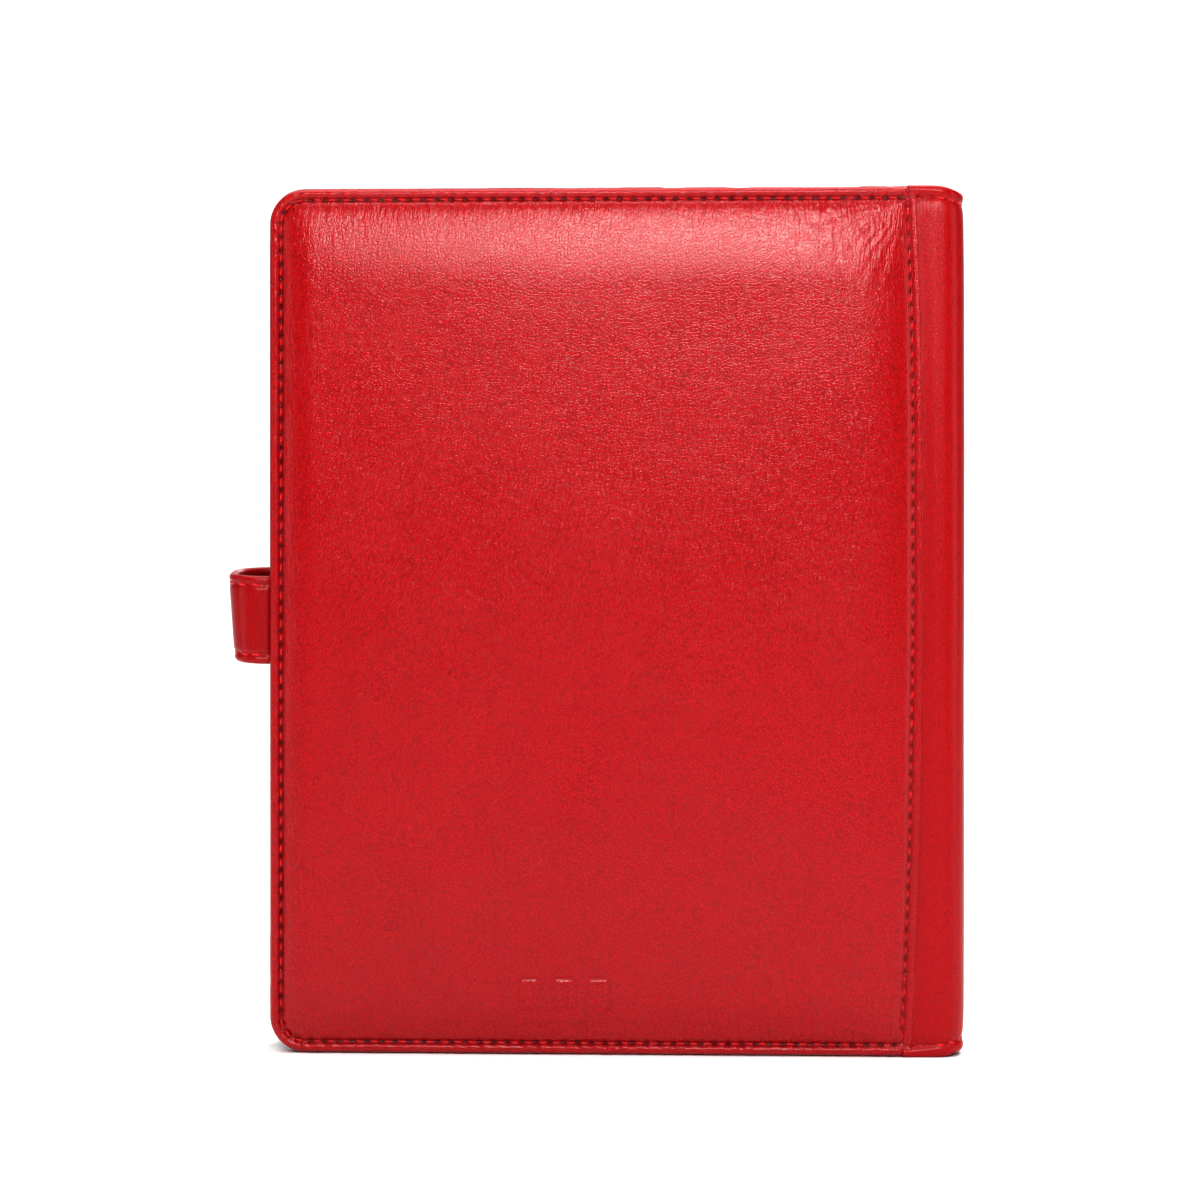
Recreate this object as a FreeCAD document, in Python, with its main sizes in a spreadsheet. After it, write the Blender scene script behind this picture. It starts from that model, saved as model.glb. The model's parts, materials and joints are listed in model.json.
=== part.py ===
import FreeCAD, Part
import Sketcher
import math
import os
from FreeCAD import Vector, Rotation, Placement

# Padded card binder with a snap strap, closed and standing on its lower edges.
# +Z runs up along the spine, the spine is on the +X side and the strap on the
# -X side. The back cover faces -Y and the front cover faces +Y. The origin is
# at the middle of the footprint, at the height of the lower edges.
# Each cover is modelled flat in a frame of its own, whose origin lies on its
# outer face at the edge beside the spine, and is then tilted so that the closed
# binder is a wedge: thick at the spine and thinner at the fore-edge.

doc = FreeCAD.newDocument("card_binder")

# ---------------------------------------------------------------- dimensions
SIZES = [
    ("origin_x", 1.65),          # shift that puts the origin mid-footprint
    ("origin_y", -0.378),
    ("cover_height", 215.0),
    ("cover_length", 161.6),     # spine-side edge to fore-edge
    ("cover_edge_x", 79.1),      # spine-side edge of both covers
    ("spine_half", 16.0),        # half thickness of the closed binder at the spine
    ("cover_tilt", 2.235),       # tilt of each cover, degrees
    ("corner_radius", 9.0),
    ("spine_corner_radius", 1.5),
    ("skin_thick", 0.8),
    ("foam_thick", 1.6),
    ("board_thick", 1.6),
    ("hem_thick", 0.6),
    ("hem_width", 12.0),
    ("lining_thick", 0.4),
    ("lining_inset", 1.5),
    ("bead_radius", 1.4),
    ("stitch_inset", 3.0),
    ("seam_inset", 2.3),
    ("thread_width", 0.7),
    ("thread_deep", 0.45),
    ("groove_deep", 0.5),
    ("spine_outer_x", 90.3),
    ("spine_radius", 6.0),
    ("hinge_radius", 6.2),       # the fold lines lie just outside the spine corners
    ("fold_gap_angle", 1.6),     # degrees left free each side of a fold line
    ("spine_board_width", 19.0),
    ("spine_board_height", 207.0),
    ("spine_hem_inset", 3.0),
    ("spine_stitch_length", 18.0),
    ("page_count", 20),
    ("page_root_x", 77.0),
    ("page_width", 144.5),
    ("page_height", 194.5),
    ("page_bottom", 10.25),
    ("backing_thick", 0.14),
    ("film_thick", 0.10),
    ("root_pitch", 0.85),
    ("edge_pitch", 0.44),
    ("tab_thick", 0.5),
    ("tab_length", 5.0),
    ("tab_gap", 0.4),
    ("strip_thick", 0.8),
    ("strap_width", 22.0),
    ("strap_thick", 2.0),
    ("strap_bottom", 96.5),
    ("strap_rise", 2.0),         # the strap climbs a little on its way to the front
    ("strap_tab_length", 20.0),
    ("strap_loop_radius", 7.0),
    ("strap_fold_radius", 8.6),
    ("strap_fold_x", -84.0),
    ("strap_lift", 3.2),         # underside of the strap above the front cover
    ("strap_end_x", -68.0),
    ("strap_end_radius", 6.0),
    ("strap_stitch_inset", 2.3),
    ("strap_thread_thick", 0.3),
    ("snap_from_edge", 154.1),   # snap centre, from the covers' spine-side edge
    ("snap_height", 109.5),
    ("cap_radius", 5.5),
    ("cap_thick", 0.7),
    ("cap_dome", 0.7),
    ("cap_top_radius", 4.4),
    ("prong_radius", 1.7),
    ("socket_radius", 5.0),
    ("socket_hole", 3.2),
    ("socket_thick", 2.2),
    ("stud_radius", 5.0),
    ("stud_base", 0.8),
    ("knob_radius", 2.8),
    ("knob_height", 1.9),
    ("post_radius", 1.6),
    ("post_hole", 1.7),
    ("post_disc_radius", 5.0),
    ("post_disc_thick", 0.5),
    ("post_recess", 5.3),        # hole in the hem that the post's disc sits in
]
sheet = doc.addObject("Spreadsheet::Sheet", "Sizes")
for row, (alias, value) in enumerate(SIZES, 1):
    sheet.set("A%d" % row, alias)
    sheet.set("B%d" % row, str(value))
    sheet.setAlias("B%d" % row, alias)
doc.recompute()


def size(alias):
    return float(sheet.get(alias))


ox, oy = size("origin_x"), size("origin_y")
H = size("cover_height")
L = size("cover_length")
edge_x = size("cover_edge_x")
half = size("spine_half")
tilt = size("cover_tilt")
tw = size("thread_width")


# ------------------------------------------------------------------- helpers
def role_plane(body, role):
    for f in body.Origin.OriginFeatures:
        if f.Role == role:
            return f
    raise RuntimeError("no plane " + role)


def new_body(label):
    body = doc.addObject("PartDesign::Body", label)
    body.Label = label
    return body


def new_sketch(body, name, role, offset=None):
    sk = body.newObject("Sketcher::SketchObject", name)
    sk.AttachmentSupport = (role_plane(body, role), [""])
    sk.MapMode = "FlatFace"
    if offset is not None:
        sk.setExpression("AttachmentOffset.Base.z", offset)
    return sk


def bind(sk, kind, refs, value, expr):
    n = sk.addConstraint(Sketcher.Constraint(kind, *refs, value))
    if expr is not None:
        sk.setExpression("Constraints[%d]" % n, expr)
    return n


def rectangle(sk, x0, x1, y0, y1):
    """Upright rectangle; each side is a (value, expression) pair."""
    g = len(sk.Geometry)
    a, b, c, d = x0[0], x1[0], y0[0], y1[0]
    pts = [Vector(a, c, 0), Vector(b, c, 0), Vector(b, d, 0), Vector(a, d, 0)]
    for n in range(4):
        sk.addGeometry(Part.LineSegment(pts[n], pts[(n + 1) % 4]), False)
    for n in range(4):
        sk.addConstraint(Sketcher.Constraint("Coincident", g + n, 2, g + (n + 1) % 4, 1))
    sk.addConstraint(Sketcher.Constraint("Horizontal", g))
    sk.addConstraint(Sketcher.Constraint("Vertical", g + 1))
    sk.addConstraint(Sketcher.Constraint("Horizontal", g + 2))
    sk.addConstraint(Sketcher.Constraint("Vertical", g + 3))
    bind(sk, "DistanceX", (-1, 1, g + 3, 1), a, x0[1])
    bind(sk, "DistanceX", (-1, 1, g + 1, 1), b, x1[1])
    bind(sk, "DistanceY", (-1, 1, g, 1), c, y0[1])
    bind(sk, "DistanceY", (-1, 1, g + 2, 1), d, y1[1])


def rounded(sk, x0, x1, y0, y1, fore, spine):
    """Rounded rectangle with one radius at its two -X corners and one at its two
    +X corners; each side and radius is a (value, expression) pair."""
    g = len(sk.Geometry)
    a, b, c, d = x0[0], x1[0], y0[0], y1[0]
    r, s = fore[0], spine[0]
    V = lambda x, y: Vector(x, y, 0)
    arc = lambda x, y, q, t0: Part.ArcOfCircle(
        Part.Circle(V(x, y), Vector(0, 0, 1), q), t0, t0 + math.pi / 2
    )
    for piece in (
        Part.LineSegment(V(a + r, c), V(b - s, c)),
        arc(b - s, c + s, s, -math.pi / 2),
        Part.LineSegment(V(b, c + s), V(b, d - s)),
        arc(b - s, d - s, s, 0.0),
        Part.LineSegment(V(b - s, d), V(a + r, d)),
        arc(a + r, d - r, r, math.pi / 2),
        Part.LineSegment(V(a, d - r), V(a, c + r)),
        arc(a + r, c + r, r, math.pi),
    ):
        sk.addGeometry(piece, False)
    for n in range(8):
        sk.addConstraint(Sketcher.Constraint("Tangent", g + n, 2, g + (n + 1) % 8, 1))
    sk.addConstraint(Sketcher.Constraint("Horizontal", g))
    sk.addConstraint(Sketcher.Constraint("Vertical", g + 2))
    sk.addConstraint(Sketcher.Constraint("Horizontal", g + 4))
    sk.addConstraint(Sketcher.Constraint("Vertical", g + 6))
    sk.addConstraint(Sketcher.Constraint("Equal", g + 1, g + 3))
    sk.addConstraint(Sketcher.Constraint("Equal", g + 5, g + 7))
    bind(sk, "Radius", (g + 1,), s, spine[1])
    bind(sk, "Radius", (g + 5,), r, fore[1])
    bind(sk, "DistanceX", (-1, 1, g + 6, 1), a, x0[1])
    bind(sk, "DistanceX", (-1, 1, g + 2, 1), b, x1[1])
    bind(sk, "DistanceY", (-1, 1, g, 1), c, y0[1])
    bind(sk, "DistanceY", (-1, 1, g + 4, 1), d, y1[1])


def pad(body, sk, value, expr, reverse=False):
    f = body.newObject("PartDesign::Pad", sk.Name + "_pad")
    f.Profile = sk
    f.Length = value
    f.setExpression("Length", expr)
    f.Reversed = reverse
    doc.recompute()
    return f


def pocket(body, sk, value, expr, reverse=False):
    before = body.Shape.Volume
    f = body.newObject("PartDesign::Pocket", sk.Name + "_cut")
    f.Profile = sk
    f.Length = value
    f.setExpression("Length", expr)
    f.Reversed = reverse
    doc.recompute()
    if not body.Shape.Volume < before - 1e-6:
        raise RuntimeError("pocket %s cuts nothing" % f.Name)
    return f


def place(obj, x, y, z=0.0, angle=0.0):
    obj.Placement = Placement(Vector(x + ox, y + oy, z), Rotation(Vector(0, 0, 1), angle))


def inset(sides, value, expr):
    """Move the four sides of a cover outline inwards by one distance."""
    x0, x1, y0, y1 = sides
    return (
        (x0[0] + value, x0[1] + " + " + expr),
        (x1[0] - value, x1[1] + " - " + expr),
        (y0[0] + value, y0[1] + " + " + expr),
        (y1[0] - value, y1[1] + " - " + expr),
    )


OUTLINE = (
    (-L, "-Sizes.cover_length"),
    (0.0, "0"),
    (0.0, "0"),
    (H, "Sizes.cover_height"),
)
parts = []      # (node name, object), in the order of assembly


def keep(node, obj):
    obj.Label = node
    parts.append((node, obj))
    return obj


# -------------------------------------------------------------------- covers
def make_cover(side):
    """side is 'back' or 'front'. Depth w runs from the outer face inwards."""
    back = side == "back"
    sign = -1.0 if back else 1.0
    pose = (edge_x, sign * half, 0.0, -tilt if back else tilt)
    name = side + "_cover_"
    sk_t, fo_t, bo_t, he_t = (size(k) for k in ("skin_thick", "foam_thick", "board_thick", "hem_thick"))
    cr, sr = size("corner_radius"), size("spine_corner_radius")

    def at(expr):
        return "-(" + expr + ")" if back else expr

    # leatherette skin: outer face, rolled edges and the hem turned over the board
    skin = new_body(name + "skin")
    total = "Sizes.skin_thick + Sizes.foam_thick + Sizes.board_thick + Sizes.hem_thick"
    s = new_sketch(skin, side + "_skin_outline", "XZ_Plane")
    rounded(s, *OUTLINE, (cr, "Sizes.corner_radius"), (sr, "Sizes.spine_corner_radius"))
    p = pad(skin, s, sk_t + fo_t + bo_t + he_t, total, reverse=back)
    rim = [
        "Edge%d" % (n + 1)
        for n, e in enumerate(p.Shape.Edges)
        if abs(e.BoundBox.YMax) < 1e-6 and abs(e.BoundBox.YMin) < 1e-6 and e.BoundBox.XMin < -1.0
        and not (abs(e.BoundBox.XMax) < 1e-6 and abs(e.BoundBox.XMin) < 1e-6)
    ]
    bead = skin.newObject("PartDesign::Fillet", side + "_bead")
    bead.Base = (p, rim)
    bead.Radius = size("bead_radius")
    bead.setExpression("Radius", "Sizes.bead_radius")
    doc.recompute()
    # window in the hem
    w = size("hem_width")
    s = new_sketch(skin, side + "_hem_window", "XZ_Plane", at(total))
    rounded(s, *inset(OUTLINE, w, "Sizes.hem_width"), (2.0, None), (2.0, None))
    pocket(skin, s, he_t, "Sizes.hem_thick", reverse=back)
    # room for the foam and the board
    s = new_sketch(skin, side + "_hollow", "XZ_Plane", at("Sizes.skin_thick + Sizes.foam_thick + Sizes.board_thick"))
    rounded(
        s, *inset(OUTLINE, sk_t, "Sizes.skin_thick"),
        (cr - sk_t, "Sizes.corner_radius - Sizes.skin_thick"),
        (sr - sk_t, "Sizes.spine_corner_radius - Sizes.skin_thick"),
    )
    pocket(skin, s, fo_t + bo_t, "Sizes.foam_thick + Sizes.board_thick", reverse=back)
    # stitch groove: three edges and the spine seam
    si, se = size("stitch_inset"), size("seam_inset")

    def ring(sk):
        for k, sgn in ((-tw / 2, "-"), (tw / 2, "+")):
            half_t = " %s Sizes.thread_width / 2" % sgn
            rounded(
                sk,
                (-L + si + k, "-Sizes.cover_length + Sizes.stitch_inset" + half_t),
                (-se - k, "-Sizes.seam_inset - (0" + half_t + ")"),
                (si + k, "Sizes.stitch_inset" + half_t),
                (H - si - k, "Sizes.cover_height - Sizes.stitch_inset - (0" + half_t + ")"),
                (cr - si - k, "Sizes.corner_radius - Sizes.stitch_inset - (0" + half_t + ")"),
                (1.2 - k, "1.2 - (0" + half_t + ")"),
            )

    s = new_sketch(skin, side + "_stitch_groove", "XZ_Plane")
    ring(s)
    pocket(skin, s, size("groove_deep"), "Sizes.groove_deep", reverse=not back)
    if back:
        # slit where the strap is sewn in between skin and lining
        sb, sw = size("strap_bottom"), size("strap_width")
        s = new_sketch(skin, "strap_slit", "XZ_Plane", at(total))
        rectangle(
            s,
            (-L - 2.0, "-Sizes.cover_length - 2"),
            (-L + 20.2, "-Sizes.cover_length + Sizes.strap_tab_length + 0.2"),
            (sb - 0.2, "Sizes.strap_bottom - 0.2"),
            (sb + sw + 0.2, "Sizes.strap_bottom + Sizes.strap_width + 0.2"),
        )
        pocket(skin, s, he_t, "Sizes.hem_thick", reverse=back)
    else:
        s = new_sketch(skin, "snap_hole_skin", "XZ_Plane")
        snap_circle(s)
        pocket(skin, s, sk_t, "Sizes.skin_thick", reverse=not back)
        s = new_sketch(skin, "snap_recess_hem", "XZ_Plane", at(total))
        snap_circle(s, "post_recess")
        pocket(skin, s, he_t, "Sizes.hem_thick", reverse=back)
    place(skin, *pose)
    keep(name + "skin", skin)

    # foam under the skin, rigid board, inner lining
    def layer(node, start, thick_value, thick_expr, ins_value, ins_expr, holes):
        b = new_body(name + node)
        sk = new_sketch(b, side + "_" + node + "_outline", "XZ_Plane", at(start))
        rounded(
            sk, *inset(OUTLINE, ins_value, ins_expr),
            (cr - ins_value, "Sizes.corner_radius - " + ins_expr),
            (0.5, None),
        )
        pad(b, sk, thick_value, thick_expr, reverse=back)
        if holes:
            sk = new_sketch(b, side + "_" + node + "_hole", "XZ_Plane", at(start))
            snap_circle(sk)
            pocket(b, sk, thick_value, thick_expr, reverse=not back)
        place(b, *pose)
        keep(name + node, b)

    layer("padding", "Sizes.skin_thick", fo_t, "Sizes.foam_thick", sk_t, "Sizes.skin_thick", not back)
    layer("board", "Sizes.skin_thick + Sizes.foam_thick", bo_t, "Sizes.board_thick", sk_t, "Sizes.skin_thick", not back)
    layer("lining", total, size("lining_thick"), "Sizes.lining_thick", size("lining_inset"), "Sizes.lining_inset", False)

    # threads: one run round three edges, one along the spine seam
    for node, split in (("cover_thread", "edges"), ("seam_thread", "seam")):
        b = new_body(side + "_" + split + "_thread_ring")
        sk = new_sketch(b, side + "_" + split + "_ring", "XZ_Plane", at("Sizes.groove_deep - Sizes.thread_deep"))
        ring(sk)
        pad(b, sk, size("thread_deep"), "Sizes.thread_deep", reverse=back)
        box = doc.addObject("Part::Box", side + "_" + split + "_cutter")
        box.Length, box.Width, box.Height = 4.0, 4.0, H + 10
        box.setExpression("Height", "Sizes.cover_height + 10")
        box.Placement = Placement(Vector(-4.0, -2.0, -5.0), Rotation())
        box.setExpression("Placement.Base.x", "-Sizes.seam_inset - 1.7")
        op = doc.addObject("Part::Cut" if split == "edges" else "Part::Common", side + "_" + node)
        op.Base, op.Tool = b, box
        place(op, *pose)
        keep(side + "_" + node, op)


def snap_circle(sk, alias="post_hole"):
    r = size(alias)
    cx, cz = -size("snap_from_edge"), size("snap_height")
    g = len(sk.Geometry)
    sk.addGeometry(Part.Circle(Vector(cx, cz, 0), Vector(0, 0, 1), r), False)
    bind(sk, "Radius", (g,), r, "Sizes." + alias)
    bind(sk, "DistanceX", (-1, 1, g, 3), cx, "-Sizes.snap_from_edge")
    bind(sk, "DistanceY", (-1, 1, g, 3), cz, "Sizes.snap_height")


make_cover("back")
make_cover("front")

# ------------------------------------------- spine and its two fold leathers
# The spine leather is one piece on the real object, sewn to both covers. It is
# divided here at its two fold lines, because each length moves with its own body.
so, sr, st = size("spine_outer_x"), size("spine_radius"), size("skin_thick")
acx, acy = so - sr, half - sr                       # centre of a spine corner
gap = math.radians(size("fold_gap_angle"))


def polar(cx, cy, r, a):
    return Vector(cx + r * math.cos(a), cy + r * math.sin(a), 0)


def closed_profile(sk, pieces):
    """A closed run of lines and arcs, joined end to end and held in place."""
    g = len(sk.Geometry)
    for piece in pieces:
        sk.addGeometry(piece, False)
    for n in range(len(pieces)):
        sk.addConstraint(Sketcher.Constraint("Block", g + n))


def arc_by(cx, cy, r, a0, a1):
    return Part.Arc(polar(cx, cy, r, a0), polar(cx, cy, r, (a0 + a1) / 2), polar(cx, cy, r, a1))


q = math.pi / 4
spine = new_body("spine_skin")
s = new_sketch(spine, "spine_profile", "XY_Plane")
ri = sr - st
closed_profile(s, [
    arc_by(acx, acy, sr, q - gap, 0.0),
    Part.LineSegment(Vector(so, acy, 0), Vector(so, -acy, 0)),
    arc_by(acx, -acy, sr, 0.0, -q + gap),
    Part.LineSegment(polar(acx, -acy, sr, -q + gap), polar(acx, -acy, ri, -q + gap)),
    arc_by(acx, -acy, ri, -q + gap, 0.0),
    Part.LineSegment(Vector(so - st, -acy, 0), Vector(so - st, acy, 0)),
    arc_by(acx, acy, ri, 0.0, q - gap),
    Part.LineSegment(polar(acx, acy, ri, q - gap), polar(acx, acy, sr, q - gap)),
])
pad(spine, s, H, "Sizes.cover_height")
s = new_sketch(spine, "spine_stitch_grooves", "YZ_Plane", "Sizes.spine_outer_x")
hi, sl = size("spine_hem_inset"), size("spine_stitch_length")
for y, e in ((hi, "Sizes.spine_hem_inset"), (H - hi, "Sizes.cover_height - Sizes.spine_hem_inset")):
    rectangle(
        s,
        (-sl / 2, "-Sizes.spine_stitch_length / 2"),
        (sl / 2, "Sizes.spine_stitch_length / 2"),
        (y - tw / 2, e + " - Sizes.thread_width / 2"),
        (y + tw / 2, e + " + Sizes.thread_width / 2"),
    )
pocket(spine, s, size("groove_deep"), "Sizes.groove_deep")
place(spine, 0, 0)
keep("spine_skin", spine)

threads = []
for n, e in enumerate(("Sizes.spine_hem_inset", "Sizes.cover_height - Sizes.spine_hem_inset")):
    t = doc.addObject("Part::Box", "spine_thread_%d" % (n + 1))
    t.setExpression("Length", "Sizes.thread_deep")
    t.setExpression("Width", "Sizes.spine_stitch_length")
    t.setExpression("Height", "Sizes.thread_width")
    t.setExpression("Placement.Base.x", "Sizes.spine_outer_x - Sizes.groove_deep")
    t.setExpression("Placement.Base.y", "-Sizes.spine_stitch_length / 2")
    t.setExpression("Placement.Base.z", e + " - Sizes.thread_width / 2")
    threads.append(t)
group = doc.addObject("Part::Compound", "spine_threads")
group.Links = threads
place(group, 0, 0)
keep("spine_thread", group)

for node, thick, out in (
    ("spine_board", "Sizes.board_thick", "Sizes.spine_outer_x - Sizes.skin_thick - Sizes.board_thick"),
    ("spine_lining", "Sizes.lining_thick",
     "Sizes.spine_outer_x - Sizes.skin_thick - Sizes.board_thick - Sizes.lining_thick"),
):
    inner = doc.addObject("Part::Box", node + "_sheet")
    inner.setExpression("Length", thick)
    inner.setExpression("Width", "Sizes.spine_board_width")
    inner.setExpression("Height", "Sizes.spine_board_height")
    inner.setExpression("Placement.Base.x", out)
    inner.setExpression("Placement.Base.y", "-Sizes.spine_board_width / 2")
    inner.setExpression("Placement.Base.z", "(Sizes.cover_height - Sizes.spine_board_height) / 2")
    holder = doc.addObject("Part::Compound", node)
    holder.Links = [inner]
    place(holder, 0, 0)
    keep(node, holder)

for side, sg in (("back", -1.0), ("front", 1.0)):
    b = new_body(side + "_hinge_leather")
    s = new_sketch(b, side + "_fold_profile", "XY_Plane")
    a0, a1 = sg * math.pi / 2, sg * (q + gap)
    x0 = edge_x + 0.1
    closed_profile(s, [
        Part.LineSegment(Vector(x0, sg * half, 0), Vector(acx, sg * half, 0)),
        arc_by(acx, sg * acy, sr, a0, a1),
        Part.LineSegment(polar(acx, sg * acy, sr, a1), polar(acx, sg * acy, ri, a1)),
        arc_by(acx, sg * acy, ri, a1, a0),
        Part.LineSegment(Vector(acx, sg * (half - st), 0), Vector(x0, sg * (half - st), 0)),
        Part.LineSegment(Vector(x0, sg * (half - st), 0), Vector(x0, sg * half, 0)),
    ])
    pad(b, s, H, "Sizes.cover_height")
    place(b, 0, 0)
    keep(side + "_hinge_leather", b)

# -------------------------------------------------------------- page binding
root_x, pitch = size("page_root_x"), size("root_pitch")
count = int(size("page_count"))
tab_x = root_x + size("tab_gap")
tabs = []
for k in range(count):
    y = (k - (count - 1) / 2.0) * pitch
    t = doc.addObject("Part::Box", "tab_%02d" % (k + 1))
    t.setExpression("Length", "Sizes.tab_length")
    t.setExpression("Width", "Sizes.tab_thick")
    t.setExpression("Height", "Sizes.page_height")
    t.Placement = Placement(Vector(tab_x, y - size("tab_thick") / 2, size("page_bottom")), Rotation())
    t.setExpression("Placement.Base.x", "Sizes.page_root_x + Sizes.tab_gap")
    t.setExpression("Placement.Base.y", "%g * Sizes.root_pitch - Sizes.tab_thick / 2" % (k - (count - 1) / 2.0))
    t.setExpression("Placement.Base.z", "Sizes.page_bottom")
    tabs.append(t)
group = doc.addObject("Part::Compound", "page_tab_stack")
group.Links = tabs
place(group, 0, 0)
keep("page_tabs", group)

# bent strip that holds the tabs: one leg behind them, one glued on the lining
leg_y = -11.2
upright = doc.addObject("Part::Box", "strip_upright")
upright.setExpression("Length", "Sizes.strip_thick")
upright.setExpression("Height", "Sizes.page_height")
upright.Width = 9.2 - leg_y
upright.Placement = Placement(
    Vector(tab_x + size("tab_length") + 0.1, leg_y, size("page_bottom")), Rotation())
upright.setExpression("Placement.Base.x", "Sizes.page_root_x + Sizes.tab_gap + Sizes.tab_length + 0.1")
upright.setExpression("Placement.Base.z", "Sizes.page_bottom")
total_w = sum(size(k) for k in ("skin_thick", "foam_thick", "board_thick", "hem_thick", "lining_thick"))
flange = doc.addObject("Part::Box", "strip_flange")
flange.setExpression("Height", "Sizes.page_height")
flange.setExpression("Width", "Sizes.strip_thick * 0.75")
flange.Length = 16.4
ang = math.radians(-tilt)
base = Vector(-12.6, total_w, 0)
flange.Placement = Placement(
    Vector(edge_x + base.x * math.cos(ang) - base.y * math.sin(ang),
           -half + base.x * math.sin(ang) + base.y * math.cos(ang), size("page_bottom")),
    Rotation(Vector(0, 0, 1), -tilt))
binding = doc.addObject("Part::Fuse", "strip_bent")
binding.Base, binding.Tool = upright, flange
place(binding, 0, 0)
keep("page_binding", binding)

sewn = doc.addObject("Part::Box", "tab_stitching")
sewn.setExpression("Length", "Sizes.thread_width")
sewn.setExpression("Width", "Sizes.strap_thread_thick")
sewn.Height = 186.0
sewn.setExpression("Placement.Base.x", "Sizes.page_root_x + Sizes.tab_gap + Sizes.tab_length / 2")
sewn.setExpression("Placement.Base.y", "(Sizes.page_count - 1) / 2 * Sizes.root_pitch + Sizes.tab_thick / 2")
sewn.setExpression("Placement.Base.z", "Sizes.page_bottom + (Sizes.page_height - 186) / 2")
holder = doc.addObject("Part::Compound", "tab_stitch_run")
holder.Links = [sewn]
place(holder, 0, 0)
keep("binding_thread", holder)

# --------------------------------------------------------------------- strap
ft, tt = size("strap_thick"), size("strap_thread_thick")
R2, R1 = size("strap_loop_radius"), size("strap_fold_radius")
beta = math.radians(tilt)
fx = size("strap_fold_x")
# the strap's middle surface over the front cover, at x = fx
line_y = half + (fx - edge_x) * math.tan(beta) + (size("strap_lift") + ft / 2) / math.cos(beta)
fold_c = Vector(fx, line_y - R1 / math.cos(beta), 0)
pivot = Vector(fx - R1, fold_c.y, 0)                # axis of the strap's fold


def cover_point(lx, w):
    """A point of the back cover's own frame, seen in the binder's frame."""
    return Vector(edge_x + lx * math.cos(ang) - w * math.sin(ang),
                  -half + lx * math.sin(ang) + w * math.cos(ang), 0)


tab_in, tab_out = total_w - size("lining_thick") - size("hem_thick"), total_w - size("lining_thick")
tab_l = size("strap_tab_length")
pa, pb = cover_point(-L + tab_l, tab_in), cover_point(-L - 0.5, tab_in)
pc, pd = cover_point(-L - 0.5, tab_out), cover_point(-L + tab_l, tab_out)
mid_y = (pb.y + pc.y) / 2
loop_c = Vector(pivot.x + R2, mid_y + R2, 0)
x_thick = -84.4


def strap_base_profile(outer_cut, inner_cut):
    """Outline of the sewn-in length, thinned by the given amounts on each face."""
    o, i = ft / 2 - outer_cut, ft / 2 - inner_cut
    return [
        Part.LineSegment(pa, pb),
        Part.LineSegment(pb, Vector(x_thick, mid_y - o, 0)),
        Part.LineSegment(Vector(x_thick, mid_y - o, 0), Vector(loop_c.x, mid_y - o, 0)),
        arc_by(loop_c.x, loop_c.y, R2 + o, -math.pi / 2, -math.pi),
        Part.LineSegment(Vector(pivot.x - o, loop_c.y, 0), Vector(pivot.x - o, pivot.y - 2.05, 0)),
        Part.LineSegment(Vector(pivot.x - o, pivot.y - 2.05, 0), Vector(pivot.x + i, pivot.y - 1.3, 0)),
        Part.LineSegment(Vector(pivot.x + i, pivot.y - 1.3, 0), Vector(pivot.x + i, loop_c.y, 0)),
        arc_by(loop_c.x, loop_c.y, R2 - i, -math.pi, -math.pi / 2),
        Part.LineSegment(Vector(loop_c.x, mid_y + i, 0), Vector(x_thick, mid_y + i, 0)),
        Part.LineSegment(Vector(x_thick, mid_y + i, 0), pc),
        Part.LineSegment(pc, pd),
        Part.LineSegment(pd, pa),
    ]


top_a = math.pi / 2 + beta
along = Vector(math.cos(beta), math.sin(beta), 0)
across = Vector(-math.sin(beta), math.cos(beta), 0)
fold_top = fold_c + across * R1
end_len = (size("strap_end_x") - fold_top.x) / math.cos(beta)
end_pt = fold_top + along * end_len


def strap_tip_profile():
    o = ft / 2
    return [
        arc_by(pivot.x, pivot.y, o, 0.0, -math.pi),
        arc_by(fold_c.x, fold_c.y, R1 + o, math.pi, top_a),
        Part.LineSegment(fold_top + across * o, end_pt + across * o),
        Part.LineSegment(end_pt + across * o, end_pt - across * o),
        Part.LineSegment(end_pt - across * o, fold_top - across * o),
        arc_by(fold_c.x, fold_c.y, R1 - o, top_a, math.pi),
    ]


def strap_solid(label, profile, expr, value):
    b = new_body(label)
    sk = new_sketch(b, label + "_profile", "XY_Plane", expr)
    closed_profile(sk, profile)
    pad(b, sk, size("strap_width"), "Sizes.strap_width")
    return b


def strap_threads(label, outline, z0):
    """Two thin bands of thread sunk flush in the strap's outer face."""
    wire = Part.Wire([g.toShape() for g in outline])
    face = Part.Face(wire)
    solids = []
    for inset_z in (size("strap_stitch_inset"), size("strap_width") - size("strap_stitch_inset")):
        f = face.copy()
        f.translate(Vector(0, 0, z0 + inset_z - tw / 2))
        solids.append(f.extrude(Vector(0, 0, tw)))
    t = doc.addObject("Part::Feature", label)
    t.Shape = Part.makeCompound(solids)
    return t


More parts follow.
